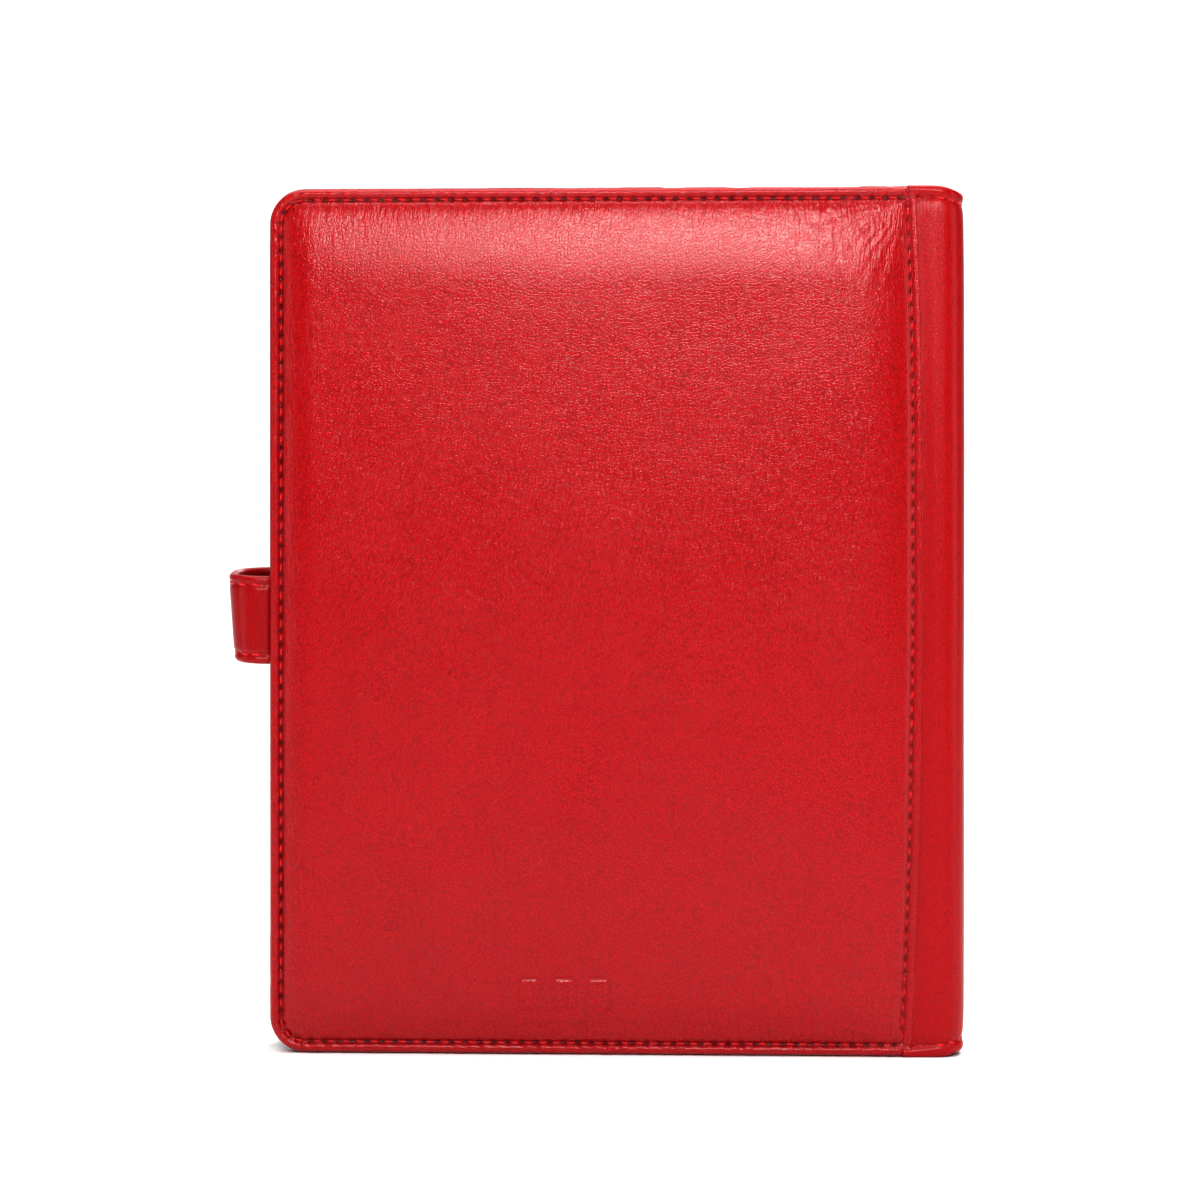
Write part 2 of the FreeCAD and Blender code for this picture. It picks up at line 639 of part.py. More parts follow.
sb = size("strap_bottom")
tip_z = sb + size("strap_rise")
o = ft / 2
base_strap = strap_solid("strap_base_blank", strap_base_profile(0, 0), "Sizes.strap_bottom", sb)
base_run = strap_threads("strap_base_thread_run", [
    Part.LineSegment(Vector(x_thick, mid_y - o, 0), Vector(loop_c.x, mid_y - o, 0)),
    arc_by(loop_c.x, loop_c.y, R2 + o, -math.pi / 2, -math.pi),
    Part.LineSegment(Vector(pivot.x - o, loop_c.y, 0), Vector(pivot.x - o, pivot.y - 2.4, 0)),
    Part.LineSegment(Vector(pivot.x - o, pivot.y - 2.4, 0), Vector(pivot.x - o + tt, pivot.y - 2.4, 0)),
    Part.LineSegment(Vector(pivot.x - o + tt, pivot.y - 2.4, 0), Vector(pivot.x - o + tt, loop_c.y, 0)),
    arc_by(loop_c.x, loop_c.y, R2 + o - tt, -math.pi, -math.pi / 2),
    Part.LineSegment(Vector(loop_c.x, mid_y - o + tt, 0), Vector(x_thick, mid_y - o + tt, 0)),
    Part.LineSegment(Vector(x_thick, mid_y - o + tt, 0), Vector(x_thick, mid_y - o, 0)),
], sb)
cut = doc.addObject("Part::Cut", "strap_base_grooved")
cut.Base, cut.Tool = base_strap, base_run
place(cut, 0, 0)
keep("strap_base", cut)
run = doc.addObject("Part::Compound", "strap_base_threads")
run.Links = [base_run]
place(run, 0, 0)
keep("strap_base_thread", run)

tip_blank = strap_solid("strap_tip_blank", strap_tip_profile(),
                        "Sizes.strap_bottom + Sizes.strap_rise", tip_z)
# rounded free end
ends = []
tip_pad = tip_blank.Tip
for n, e in enumerate(tip_pad.Shape.Edges):
    bb = e.BoundBox
    c = e.CenterOfMass
    if bb.ZLength < 1e-6 and abs(e.Length - ft) < 1e-4 and (c - (end_pt + Vector(0, 0, c.z))).Length < 1e-3:
        ends.append("Edge%d" % (n + 1))
round_end = tip_blank.newObject("PartDesign::Fillet", "strap_round_end")
round_end.Base = (tip_pad, ends)
round_end.Radius = size("strap_end_radius")
round_end.setExpression("Radius", "Sizes.strap_end_radius")
doc.recompute()
stop = fold_top + along * (end_len - 4.0)
tip_run = strap_threads("strap_tip_thread_run", [
    arc_by(fold_c.x, fold_c.y, R1 + o, math.pi - 0.05, top_a),
    Part.LineSegment(fold_top + across * o, stop + across * o),
    Part.LineSegment(stop + across * o, stop + across * (o - tt)),
    Part.LineSegment(stop + across * (o - tt), fold_top + across * (o - tt)),
    arc_by(fold_c.x, fold_c.y, R1 + o - tt, top_a, math.pi - 0.05),
    Part.LineSegment(polar(fold_c.x, fold_c.y, R1 + o - tt, math.pi - 0.05),
                     polar(fold_c.x, fold_c.y, R1 + o, math.pi - 0.05)),
], tip_z)
cut = doc.addObject("Part::Cut", "strap_tip_grooved")
cut.Base, cut.Tool = tip_blank, tip_run

# --------------------------------------------------------------- snap button
# Snap pieces are turned about the cover's outward normal: local y is height
# above the front cover's outer face.
snap_pose = Placement(Vector(ox + edge_x, oy + half, 0), Rotation(Vector(0, 0, 1), tilt))
snap_axis = Rotation(Vector(1, 0, 0), -90)


def disc(name, radius, height, bottom, top_radius=None):
    """A disc or cone whose axis is the snap's; bottom is its height."""
    kind = "Part::Cylinder" if top_radius is None else "Part::Cone"
    d = doc.addObject(kind, name)
    if top_radius is None:
        d.setExpression("Radius", radius)
    else:
        d.setExpression("Radius1", radius)
        d.setExpression("Radius2", top_radius)
    d.setExpression("Height", height)
    d.Placement = Placement(Vector(-size("snap_from_edge"), 0, size("snap_height")), snap_axis)
    d.setExpression("Placement.Base.x", "-Sizes.snap_from_edge")
    d.setExpression("Placement.Base.y", bottom)
    d.setExpression("Placement.Base.z", "Sizes.snap_height")
    return d


def join(kind, name, base_obj, tool_obj):
    j = doc.addObject(kind, name)
    j.Base, j.Tool = base_obj, tool_obj
    return j


hole = disc("strap_snap_hole", "Sizes.prong_radius", "Sizes.strap_thick + 2", "Sizes.strap_lift - 1")
hole.Placement = snap_pose.multiply(hole.Placement)
hole.setExpression("Placement.Base.x", None)
hole.setExpression("Placement.Base.y", None)
hole.setExpression("Placement.Base.z", None)
unshift = Placement(Vector(-ox, -oy, 0), Rotation())
hp = Vector(-size("snap_from_edge"), size("strap_lift") - 1, size("snap_height"))
hole.Placement = unshift.multiply(snap_pose).multiply(Placement(hp, snap_axis))
cut2 = join("Part::Cut", "strap_tip_pierced", cut, hole)
place(cut2, 0, 0)
keep("strap_tip", cut2)
run = doc.addObject("Part::Compound", "strap_tip_threads")
run.Links = [tip_run]
place(run, 0, 0)
keep("strap_tip_thread", run)

top = "Sizes.strap_lift + Sizes.strap_thick"
cap = join("Part::Fuse", "cap_dome", disc("cap_rim", "Sizes.cap_radius", "Sizes.cap_thick", top),
           disc("cap_top", "Sizes.cap_radius", "Sizes.cap_dome", top + " + Sizes.cap_thick", "Sizes.cap_top_radius"))
cap = join("Part::Fuse", "cap_with_prong", cap,
           disc("cap_prong", "Sizes.prong_radius", "Sizes.strap_thick", "Sizes.strap_lift"))
cap.Placement = snap_pose
keep("snap_cap", cap)
socket = join("Part::Cut", "socket_ring",
              disc("socket_body", "Sizes.socket_radius", "Sizes.socket_thick", "Sizes.strap_lift - Sizes.socket_thick"),
              disc("socket_bore", "Sizes.socket_hole", "Sizes.socket_thick - 0.4", "Sizes.strap_lift - Sizes.socket_thick"))
socket.Placement = snap_pose
keep("snap_socket", socket)
stud = join("Part::Fuse", "stud_turned",
            disc("stud_disc", "Sizes.stud_radius", "Sizes.stud_base", "0"),
            disc("stud_knob", "Sizes.knob_radius", "Sizes.knob_height", "Sizes.stud_base"))
stud.Placement = snap_pose
keep("snap_stud", stud)
depth = "-(Sizes.skin_thick + Sizes.foam_thick + Sizes.board_thick)"
post = join("Part::Fuse", "post_turned",
            disc("post_disc", "Sizes.post_disc_radius", "Sizes.post_disc_thick", depth + " - Sizes.post_disc_thick"),
            disc("post_shaft", "Sizes.post_radius", "Sizes.skin_thick + Sizes.foam_thick + Sizes.board_thick", depth))
post.Placement = snap_pose
keep("snap_post", post)

# --------------------------------------------------------------------- pages
# A page is a black backing sheet between two clear films. Its own frame has its
# origin on the page's hinge line, at the lower edge, and it runs towards -X.
backing = new_body("page_backing")
s = new_sketch(backing, "page_backing_profile", "XY_Plane")
bt, pw = size("backing_thick"), size("page_width")
g0 = Part.LineSegment(Vector(0, -bt / 2, 0), Vector(-pw, -bt / 2, 0))
g1 = Part.LineSegment(Vector(-pw, -bt / 2, 0), Vector(-pw, bt / 2, 0))
g2 = Part.LineSegment(Vector(-pw, bt / 2, 0), Vector(0, bt / 2, 0))
g3 = Part.ArcOfCircle(Part.Circle(Vector(0, 0, 0), Vector(0, 0, 1), bt / 2), -math.pi / 2, math.pi / 2)
for g in (g0, g1, g2, g3):
    s.addGeometry(g, False)
s.addConstraint(Sketcher.Constraint("Coincident", 0, 2, 1, 1))
s.addConstraint(Sketcher.Constraint("Coincident", 1, 2, 2, 1))
s.addConstraint(Sketcher.Constraint("Coincident", 2, 2, 3, 2))
s.addConstraint(Sketcher.Constraint("Coincident", 3, 1, 0, 1))
s.addConstraint(Sketcher.Constraint("Coincident", 3, 3, -1, 1))
s.addConstraint(Sketcher.Constraint("Horizontal", 0))
s.addConstraint(Sketcher.Constraint("Vertical", 1))
s.addConstraint(Sketcher.Constraint("Horizontal", 2))
bind(s, "DistanceX", (-1, 1, 1, 1), -pw, "-Sizes.page_width")
bind(s, "Radius", (3,), bt / 2, "Sizes.backing_thick / 2")
pad(backing, s, size("page_height"), "Sizes.page_height")
films = []
for n, y in enumerate(("Sizes.backing_thick / 2", "-Sizes.backing_thick / 2 - Sizes.film_thick")):
    f = doc.addObject("Part::Box", "page_film_%d" % (n + 1))
    f.setExpression("Length", "Sizes.page_width - 0.6")
    f.setExpression("Width", "Sizes.film_thick")
    f.setExpression("Height", "Sizes.page_height")
    f.setExpression("Placement.Base.x", "-Sizes.page_width")
    f.setExpression("Placement.Base.y", y)
    films.append(f)
doc.recompute()
for k in range(count):
    steps = k - (count - 1) / 2.0
    y_root, y_edge = steps * pitch, steps * size("edge_pitch")
    lean = math.degrees(math.asin((y_root - y_edge) / pw))
    page = doc.addObject("Part::Compound", "page_%02d" % (k + 1))
    page.Links = [backing] + films
    place(page, root_x, y_root, size("page_bottom"), lean)
    keep("page_%02d" % (k + 1), page)

doc.recompute()

# ------------------------------------------------------------ check and write
for obj in doc.Objects:
    if any(word in obj.State for word in ("Invalid", "Error")):
        raise RuntimeError("%s failed: %s" % (obj.Label, obj.State))
os.makedirs("parts", exist_ok=True)
whole = FreeCAD.BoundBox()
for node, obj in parts:
    shape = obj.Shape
    if shape.isNull() or not shape.isValid() or shape.Volume <= 0 or not shape.Solids:
        raise RuntimeError("%s has no valid solid" % node)
    whole.add(shape.BoundBox)
for node, obj in parts:
    obj.Shape.exportStep("parts/%s.step" % node)
print(len(parts), "nodes; box", [round(v, 3) for v in (
    whole.XMin, whole.XMax, whole.YMin, whole.YMax, whole.ZMin, whole.ZMax)])
print("strap fold axis", round(pivot.x + ox, 4), round(pivot.y + oy, 4))
hr = size("hinge_radius")
hx, hy = acx + hr * math.cos(q), acy + hr * math.sin(q)
print("fold axes x", round(hx + ox, 4), "y", round(-hy + oy, 4), round(hy + oy, 4))
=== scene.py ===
import json
import math

import bpy
import numpy as np
from mathutils import Matrix, Vector


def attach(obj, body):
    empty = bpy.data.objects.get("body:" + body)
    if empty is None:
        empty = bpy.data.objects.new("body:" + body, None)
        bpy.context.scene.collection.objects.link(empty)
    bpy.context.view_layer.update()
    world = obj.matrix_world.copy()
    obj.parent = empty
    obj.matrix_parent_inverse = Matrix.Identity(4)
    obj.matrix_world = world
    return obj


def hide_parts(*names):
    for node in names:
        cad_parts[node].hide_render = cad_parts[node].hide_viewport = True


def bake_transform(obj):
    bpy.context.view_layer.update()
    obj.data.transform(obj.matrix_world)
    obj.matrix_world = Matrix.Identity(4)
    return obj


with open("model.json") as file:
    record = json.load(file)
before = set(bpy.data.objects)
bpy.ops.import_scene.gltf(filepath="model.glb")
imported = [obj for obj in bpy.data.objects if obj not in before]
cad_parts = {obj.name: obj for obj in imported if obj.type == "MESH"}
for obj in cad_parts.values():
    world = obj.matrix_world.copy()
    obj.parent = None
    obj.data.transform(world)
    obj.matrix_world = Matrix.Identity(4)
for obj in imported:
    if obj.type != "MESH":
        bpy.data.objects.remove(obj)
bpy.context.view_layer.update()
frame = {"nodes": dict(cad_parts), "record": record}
record = frame["record"]
scene = bpy.context.scene

# ----------------------------------------------------------------------------
# sizes in millimetres, as the CAD holds them
# ----------------------------------------------------------------------------
OX, OY = 1.65, -0.378
H, L, EDGE_X, HALF = 215.0, 161.6, 79.1, 16.0
TILT = math.radians(2.235)
CORNER = 9.0
STITCH_IN = 3.0
SPINE_X, SPINE_R = 90.3, 6.0
PITCH = 3.5

MM = 0.001


# ----------------------------------------------------------------------------
# small tools
# ----------------------------------------------------------------------------
def lattice(seed, n=256):
    return np.random.RandomState(seed).rand(n, n)


_LAT = {}


def noise(x, y, seed=1):
    """Smooth value noise in -1..1, one unit per cell."""
    if seed not in _LAT:
        _LAT[seed] = lattice(seed)
    g = _LAT[seed]
    x = np.asarray(x, float) + 1000.0
    y = np.asarray(y, float) + 1000.0
    xi, yi = np.floor(x).astype(int), np.floor(y).astype(int)
    fx, fy = x - xi, y - yi
    fx = fx * fx * (3 - 2 * fx)
    fy = fy * fy * (3 - 2 * fy)
    n = g.shape[0]
    a = g[xi % n, yi % n]
    b = g[(xi + 1) % n, yi % n]
    c = g[xi % n, (yi + 1) % n]
    d = g[(xi + 1) % n, (yi + 1) % n]
    return ((a * (1 - fx) + b * fx) * (1 - fy) + (c * (1 - fx) + d * fx) * fy) * 2 - 1


def shoulder(q_, width):
    """Rise of the pad from a seam: steepest at the seam, level from the given width on."""
    t = np.clip(q_ / width, 0, 1)
    return 1 - (1 - t) ** 2


def smooth(t):
    t = np.clip(t, 0, 1)
    return t * t * (3 - 2 * t)


def make_mesh(name, verts_mm, faces, smooth_shade=True, attrs=None, mats=None, face_mats=None):
    me = bpy.data.meshes.new(name)
    v = np.asarray(verts_mm, float) * MM
    me.from_pydata(v.tolist(), [], faces if isinstance(faces, list) else faces.tolist())
    me.validate(clean_customdata=False)
    me.update()
    if attrs:
        for key, val in attrs.items():
            a = me.attributes.new(key, "FLOAT", "POINT")
            a.data.foreach_set("value", np.asarray(val, np.float32))
    if smooth_shade:
        me.polygons.foreach_set("use_smooth", [True] * len(me.polygons))
    ob = bpy.data.objects.new(name, me)
    scene.collection.objects.link(ob)
    for m in mats or []:
        me.materials.append(m)
    if face_mats is not None:
        me.polygons.foreach_set("material_index", np.asarray(face_mats, np.int32))
    return ob


def grid_faces(nu, nv, offset=0, flip=False, wrap_v=False):
    """Quads of a grid whose vertex (i, j) is offset + i * nv + j."""
    i = np.arange(nu - 1)
    j = np.arange(nv if wrap_v else nv - 1)
    ii, jj = np.meshgrid(i, j, indexing="ij")
    j2 = (jj + 1) % nv
    a = offset + ii * nv + jj
    b = offset + (ii + 1) * nv + jj
    c = offset + (ii + 1) * nv + j2
    d = offset + ii * nv + j2
    q = np.stack([a, b, c, d], -1).reshape(-1, 4)
    return q[:, ::-1] if flip else q


def shell(name, outer, inner, attrs_outer, **kw):
    """Closed shell between two grids of the same shape (nu, nv, 3)."""
    nu, nv = outer.shape[:2]
    n = nu * nv
    verts = np.concatenate([outer.reshape(-1, 3), inner.reshape(-1, 3)])
    faces = [grid_faces(nu, nv), grid_faces(nu, nv, n, flip=True)]
    rim = (
        [(i * nv) for i in range(nu)]
        + [((nu - 1) * nv + j) for j in range(1, nv)]
        + [(i * nv + nv - 1) for i in range(nu - 2, -1, -1)]
        + [j for j in range(nv - 2, 0, -1)]
    )
    r = np.array(rim)
    r2 = np.roll(r, -1)
    faces.append(np.stack([r, r + n, r2 + n, r2], -1)[:, ::-1])
    attrs = {k: np.concatenate([v.reshape(-1), v.reshape(-1)]) for k, v in attrs_outer.items()}
    ob = make_mesh(name, verts, np.concatenate(faces), attrs=attrs, **kw)
    flat = np.ones(len(ob.data.polygons), bool)
    flat[-len(rim):] = False
    ob.data.polygons.foreach_set("use_smooth", flat)
    return ob


def outward(ob):
    """Make every face of a closed mesh point outwards."""
    import bmesh
    bm = bmesh.new()
    bm.from_mesh(ob.data)
    bmesh.ops.recalc_face_normals(bm, faces=bm.faces)
    bm.to_mesh(ob.data)
    bm.free()
    ob.data.update()
    return ob


# ----------------------------------------------------------------------------
# materials
# ----------------------------------------------------------------------------
def material(name):
    m = bpy.data.materials.new(name)
    m.use_nodes = True
    nt = m.node_tree
    nt.nodes.clear()
    out = nt.nodes.new("ShaderNodeOutputMaterial")
    bsdf = nt.nodes.new("ShaderNodeBsdfPrincipled")
    nt.links.new(bsdf.outputs[0], out.inputs[0])
    return m, nt, bsdf


def node(nt, kind, **inputs):
    n = nt.nodes.new(kind)
    for k, v in inputs.items():
        if k.startswith("_"):
            setattr(n, k[1:], v)
        else:
            n.inputs[k].default_value = v
    return n


def coords(nt, scale=(1, 1, 1), rot=(0, 0, 0)):
    tc = nt.nodes.new("ShaderNodeTexCoord")
    mp = nt.nodes.new("ShaderNodeMapping")
    mp.inputs["Scale"].default_value = scale
    mp.inputs["Rotation"].default_value = rot
    nt.links.new(tc.outputs["Object"], mp.inputs["Vector"])
    return mp.outputs[0]


def ramp(nt, src, stops):
    r = nt.nodes.new("ShaderNodeValToRGB")
    el = r.color_ramp.elements
    while len(el) < len(stops):
        el.new(0.5)
    for e, (pos, col) in zip(el, stops):
        e.position = pos
        e.color = col if len(col) == 4 else (*col, 1)
    nt.links.new(src, r.inputs[0])
    return r


def maths(nt, op, a, b=None, c=None):
    n = nt.nodes.new("ShaderNodeMath")
    n.operation = op
    for k, v in enumerate((a, b, c)):
        if v is None:
            continue
        if isinstance(v, (int, float)):
            n.inputs[k].default_value = v
        else:
            nt.links.new(v, n.inputs[k])
    return n.outputs[0]


def leatherette(name, col, dark, light, rough=0.40, grain=1.0, spec=0.42, crease=True):
    m, nt, b = material(name)
    L_ = nt.links.new
    vec = coords(nt)
    # colour: soft cloudiness, with painted shade darkening the grain's valleys
    cloud = node(nt, "ShaderNodeTexNoise", Scale=24.0, Detail=1.5, Roughness=0.5)
    L_(vec, cloud.inputs["Vector"])
    base = ramp(nt, cloud.outputs["Fac"], [(0.15, dark), (0.5, col), (0.85, light)])
    cell = node(nt, "ShaderNodeTexVoronoi", Scale=1250.0, Randomness=1.0)
    cell.feature = "DISTANCE_TO_EDGE"
    warp = node(nt, "ShaderNodeTexNoise", Scale=420.0, Detail=2.0)
    L_(vec, warp.inputs["Vector"])
    mixv = nt.nodes.new("ShaderNodeMix")
    mixv.data_type = "VECTOR"
    mixv.inputs["Factor"].default_value = 0.0012
    L_(vec, mixv.inputs[4])
    L_(warp.outputs["Color"], mixv.inputs[5])
    L_(mixv.outputs[1], cell.inputs["Vector"])
    plate = ramp(nt, cell.outputs["Distance"], [(0.0, (0, 0, 0)), (0.22, (1, 1, 1))])
    # painted shade: the grain plate's valleys are multiplied darker into the colour
    shade = nt.nodes.new("ShaderNodeMix")
    shade.data_type = "RGBA"
    shade.blend_type = "MULTIPLY"
    shade.inputs["Factor"].default_value = 0.36 * grain
    L_(base.outputs[0], shade.inputs[6])
    L_(plate.outputs[0], shade.inputs[7])
    # painted shade: the mesh's 'dark' attribute pulls the colour to a near-black red in the stitch holes and along the
    # stitch groove
    hole_shade_attr = nt.nodes.new("ShaderNodeAttribute")
    hole_shade_attr.attribute_name = "dark"
    painted_hole_shade = nt.nodes.new("ShaderNodeMix")
    painted_hole_shade.data_type = "RGBA"
    painted_hole_shade.inputs[7].default_value = (0.035, 0.002, 0.003, 1)
    L_(hole_shade_attr.outputs["Fac"], painted_hole_shade.inputs["Factor"])
    L_(shade.outputs[2], painted_hole_shade.inputs[6])
    L_(painted_hole_shade.outputs[2], b.inputs["Base Color"])
    # gloss: broken up by the grain and by handling
    handled = node(nt, "ShaderNodeTexNoise", Scale=38.0, Detail=2.0, Roughness=0.5)
    L_(vec, handled.inputs["Vector"])
    rr = nt.nodes.new("ShaderNodeMapRange")
    rr.inputs["From Min"].default_value = 0.2
    rr.inputs["From Max"].default_value = 0.8
    rr.inputs["To Min"].default_value = rough - 0.03
    rr.inputs["To Max"].default_value = rough + 0.04
    L_(handled.outputs["Fac"], rr.inputs["Value"])
    L_(rr.outputs[0], b.inputs["Roughness"])
    # relief: grain plates, finer pores, and creases that run in from the stitches
    fine = node(nt, "ShaderNodeTexNoise", Scale=2300.0, Detail=3.0, Roughness=0.6)
    L_(vec, fine.inputs["Vector"])
    b1 = nt.nodes.new("ShaderNodeBump")
    b1.inputs["Strength"].default_value = 0.34 * grain
    b1.inputs["Distance"].default_value = 0.00007
    L_(plate.outputs[0], b1.inputs["Height"])
    b2 = nt.nodes.new("ShaderNodeBump")
    b2.inputs["Strength"].default_value = 0.15 * grain
    b2.inputs["Distance"].default_value = 0.00004
    L_(fine.outputs["Fac"], b2.inputs["Height"])
    L_(b1.outputs[0], b2.inputs["Normal"])
    last = b2
    mid = node(nt, "ShaderNodeTexNoise", Scale=430.0, Detail=3.0, Roughness=0.55, Distortion=0.6)
    L_(vec, mid.inputs["Vector"])
    b3 = nt.nodes.new("ShaderNodeBump")
    b3.inputs["Strength"].default_value = 0.34 * grain
    b3.inputs["Distance"].default_value = 0.00009
    L_(mid.outputs["Fac"], b3.inputs["Height"])
    L_(last.outputs[0], b3.inputs["Normal"])
    last = b3
    if crease:
        at = nt.nodes.new("ShaderNodeAttribute")
        at.attribute_name = "crease"
        for k, rot in enumerate((0.80, -0.80)):
            v2 = coords(nt, scale=(620.0, 620.0, 120.0), rot=(0, rot, 0))
            w = node(nt, "ShaderNodeTexNoise", Scale=1.0, Detail=2.5, Roughness=0.55, Distortion=0.35)
            L_(v2, w.inputs["Vector"])
            ridge = maths(nt, "ABSOLUTE", maths(nt, "SUBTRACT", w.outputs["Fac"], 0.5))
            at2 = nt.nodes.new("ShaderNodeAttribute")
            at2.attribute_name = "lean"
            half = maths(nt, "MULTIPLY_ADD", at2.outputs["Fac"], 0.5 if k == 0 else -0.5, 0.5)
            hgt = maths(nt, "MULTIPLY", maths(nt, "MULTIPLY", ridge, at.outputs["Fac"]), half)
            bb = nt.nodes.new("ShaderNodeBump")
            bb.inputs["Strength"].default_value = 0.9
            bb.inputs["Distance"].default_value = 0.0009
            L_(hgt, bb.inputs["Height"])
            L_(last.outputs[0], bb.inputs["Normal"])
            last = bb
    L_(last.outputs[0], b.inputs["Normal"])
    b.inputs["Specular IOR Level"].default_value = spec
    b.inputs["Coat Weight"].default_value = 0.08
    b.inputs["Coat Roughness"].default_value = 0.26
    return m


RED = (0.405, 0.0018, 0.0066)
RED_D = (0.392, 0.0015, 0.0060)
RED_L = (0.418, 0.0021, 0.0072)
M_COVER = leatherette("cover_leatherette_mat", RED, RED_D, RED_L, rough=0.26, spec=0.42)
M_SPINE = leatherette("spine_leatherette_mat", (0.385, 0.0018, 0.0064), (0.375, 0.0015, 0.0058), (0.395, 0.0021, 0.0070), rough=0.34, grain=0.75, spec=0.28)
M_STRAP = leatherette("strap_leatherette_mat", (0.355, 0.0017, 0.0060), (0.340, 0.0014, 0.0054), (0.370, 0.0020, 0.0066), rough=0.30, grain=0.7, spec=0.30, crease=False)


def thread_material():
    m, nt, b = material("thread_mat")
    vec = coords(nt)
    n1 = node(nt, "ShaderNodeTexNoise", Scale=900.0, Detail=2.0)
    nt.links.new(vec, n1.inputs["Vector"])
    col = ramp(nt, n1.outputs["Fac"], [(0.3, (0.50, 0.006, 0.011)), (0.7, (0.70, 0.012, 0.022))])
    nt.links.new(col.outputs[0], b.inputs["Base Color"])
    v2 = coords(nt, scale=(1, 1, 1), rot=(0.6, 0.6, 0.4))
    wv = node(nt, "ShaderNodeTexWave", Scale=1500.0, Distortion=1.0)
    nt.links.new(v2, wv.inputs["Vector"])
    bp = nt.nodes.new("ShaderNodeBump")
    bp.inputs["Strength"].default_value = 0.6
    bp.inputs["Distance"].default_value = 0.00008
    nt.links.new(wv.outputs["Fac"], bp.inputs["Height"])
    nt.links.new(bp.outputs[0], b.inputs["Normal"])
    b.inputs["Roughness"].default_value = 0.42
    b.inputs["Sheen Weight"].default_value = 0.2
    b.inputs["Sheen Roughness"].default_value = 0.4
    return m


M_THREAD = thread_material()


def woven(name, c0, c1, scale=1500.0, rough=0.85, depth=0.00006, sheen=0.15):
    m, nt, b = material(name)
    vec = coords(nt)
    wx = node(nt, "ShaderNodeTexWave", Scale=scale / 6.0, Distortion=0.4, Detail=1.0)
    wx.bands_direction = "X"
    wz = node(nt, "ShaderNodeTexWave", Scale=scale / 6.0, Distortion=0.4, Detail=1.0)
    wz.bands_direction = "Z"
    nt.links.new(vec, wx.inputs["Vector"])
    nt.links.new(vec, wz.inputs["Vector"])
    weave = maths(nt, "MULTIPLY", wx.outputs["Fac"], wz.outputs["Fac"])
    spot = node(nt, "ShaderNodeTexNoise", Scale=90.0, Detail=4.0)
    nt.links.new(vec, spot.inputs["Vector"])
    tot = maths(nt, "MULTIPLY_ADD", weave, 0.6, maths(nt, "MULTIPLY", spot.outputs["Fac"], 0.5))
    col = ramp(nt, tot, [(0.1, c0), (0.8, c1)])
    nt.links.new(col.outputs[0], b.inputs["Base Color"])
    bp = nt.nodes.new("ShaderNodeBump")
    bp.inputs["Strength"].default_value = 0.7
    bp.inputs["Distance"].default_value = depth
    nt.links.new(weave, bp.inputs["Height"])
    nt.links.new(bp.outputs[0], b.inputs["Normal"])
    b.inputs["Roughness"].default_value = rough
    b.inputs["Sheen Weight"].default_value = sheen
    b.inputs["Sheen Roughness"].default_value = 0.5
    return m


M_LINING = woven("lining_mat", (0.006, 0.006, 0.007), (0.022, 0.022, 0.024))
M_TAPE = woven("binding_tape_mat", (0.007, 0.007, 0.008), (0.030, 0.030, 0.032), scale=2200.0, rough=0.7)
M_BACKING = woven("page_backing_mat", (0.008, 0.008, 0.009), (0.020, 0.020, 0.022), scale=3000.0, rough=0.55, depth=0.00002, sheen=0.05)


def film_material():
    m, nt, b = material("pocket_film_mat")
    vec = coords(nt)
    n1 = node(nt, "ShaderNodeTexNoise", Scale=35.0, Detail=3.0, Distortion=0.8)
    nt.links.new(vec, n1.inputs["Vector"])
    rr = nt.nodes.new("ShaderNodeMapRange")
    rr.inputs["To Min"].default_value = 0.05
    rr.inputs["To Max"].default_value = 0.16
    nt.links.new(n1.outputs["Fac"], rr.inputs["Value"])
    nt.links.new(rr.outputs[0], b.inputs["Roughness"])
    bp = nt.nodes.new("ShaderNodeBump")
    bp.inputs["Strength"].default_value = 0.25
    bp.inputs["Distance"].default_value = 0.0012
    nt.links.new(n1.outputs["Fac"], bp.inputs["Height"])
    nt.links.new(bp.outputs[0], b.inputs["Normal"])
    b.inputs["Base Color"].default_value = (0.75, 0.77, 0.79, 1)
    b.inputs["Alpha"].default_value = 0.22
    b.inputs["IOR"].default_value = 1.45
    b.inputs["Specular IOR Level"].default_value = 0.7
    return m


M_FILM = film_material()


def metal_material():
    m, nt, b = material("snap_metal_mat")
    vec = coords(nt)
    n1 = node(nt, "ShaderNodeTexNoise", Scale=700.0, Detail=5.0, Roughness=0.7)
    nt.links.new(vec, n1.inputs["Vector"])
    col = ramp(nt, n1.outputs["Fac"], [(0.3, (0.50, 0.49, 0.46)), (0.7, (0.66, 0.65, 0.62))])
    nt.links.new(col.outputs[0], b.inputs["Base Color"])
    rr = nt.nodes.new("ShaderNodeMapRange")
    rr.inputs["To Min"].default_value = 0.14
    rr.inputs["To Max"].default_value = 0.34
    nt.links.new(n1.outputs["Fac"], rr.inputs["Value"])
    nt.links.new(rr.outputs[0], b.inputs["Roughness"])
    bp = nt.nodes.new("ShaderNodeBump")
    bp.inputs["Strength"].default_value = 0.15
    bp.inputs["Distance"].default_value = 0.00003
    nt.links.new(n1.outputs["Fac"], bp.inputs["Height"])
    nt.links.new(bp.outputs[0], b.inputs["Normal"])
    b.inputs["Metallic"].default_value = 1.0
    return m


M_METAL = metal_material()


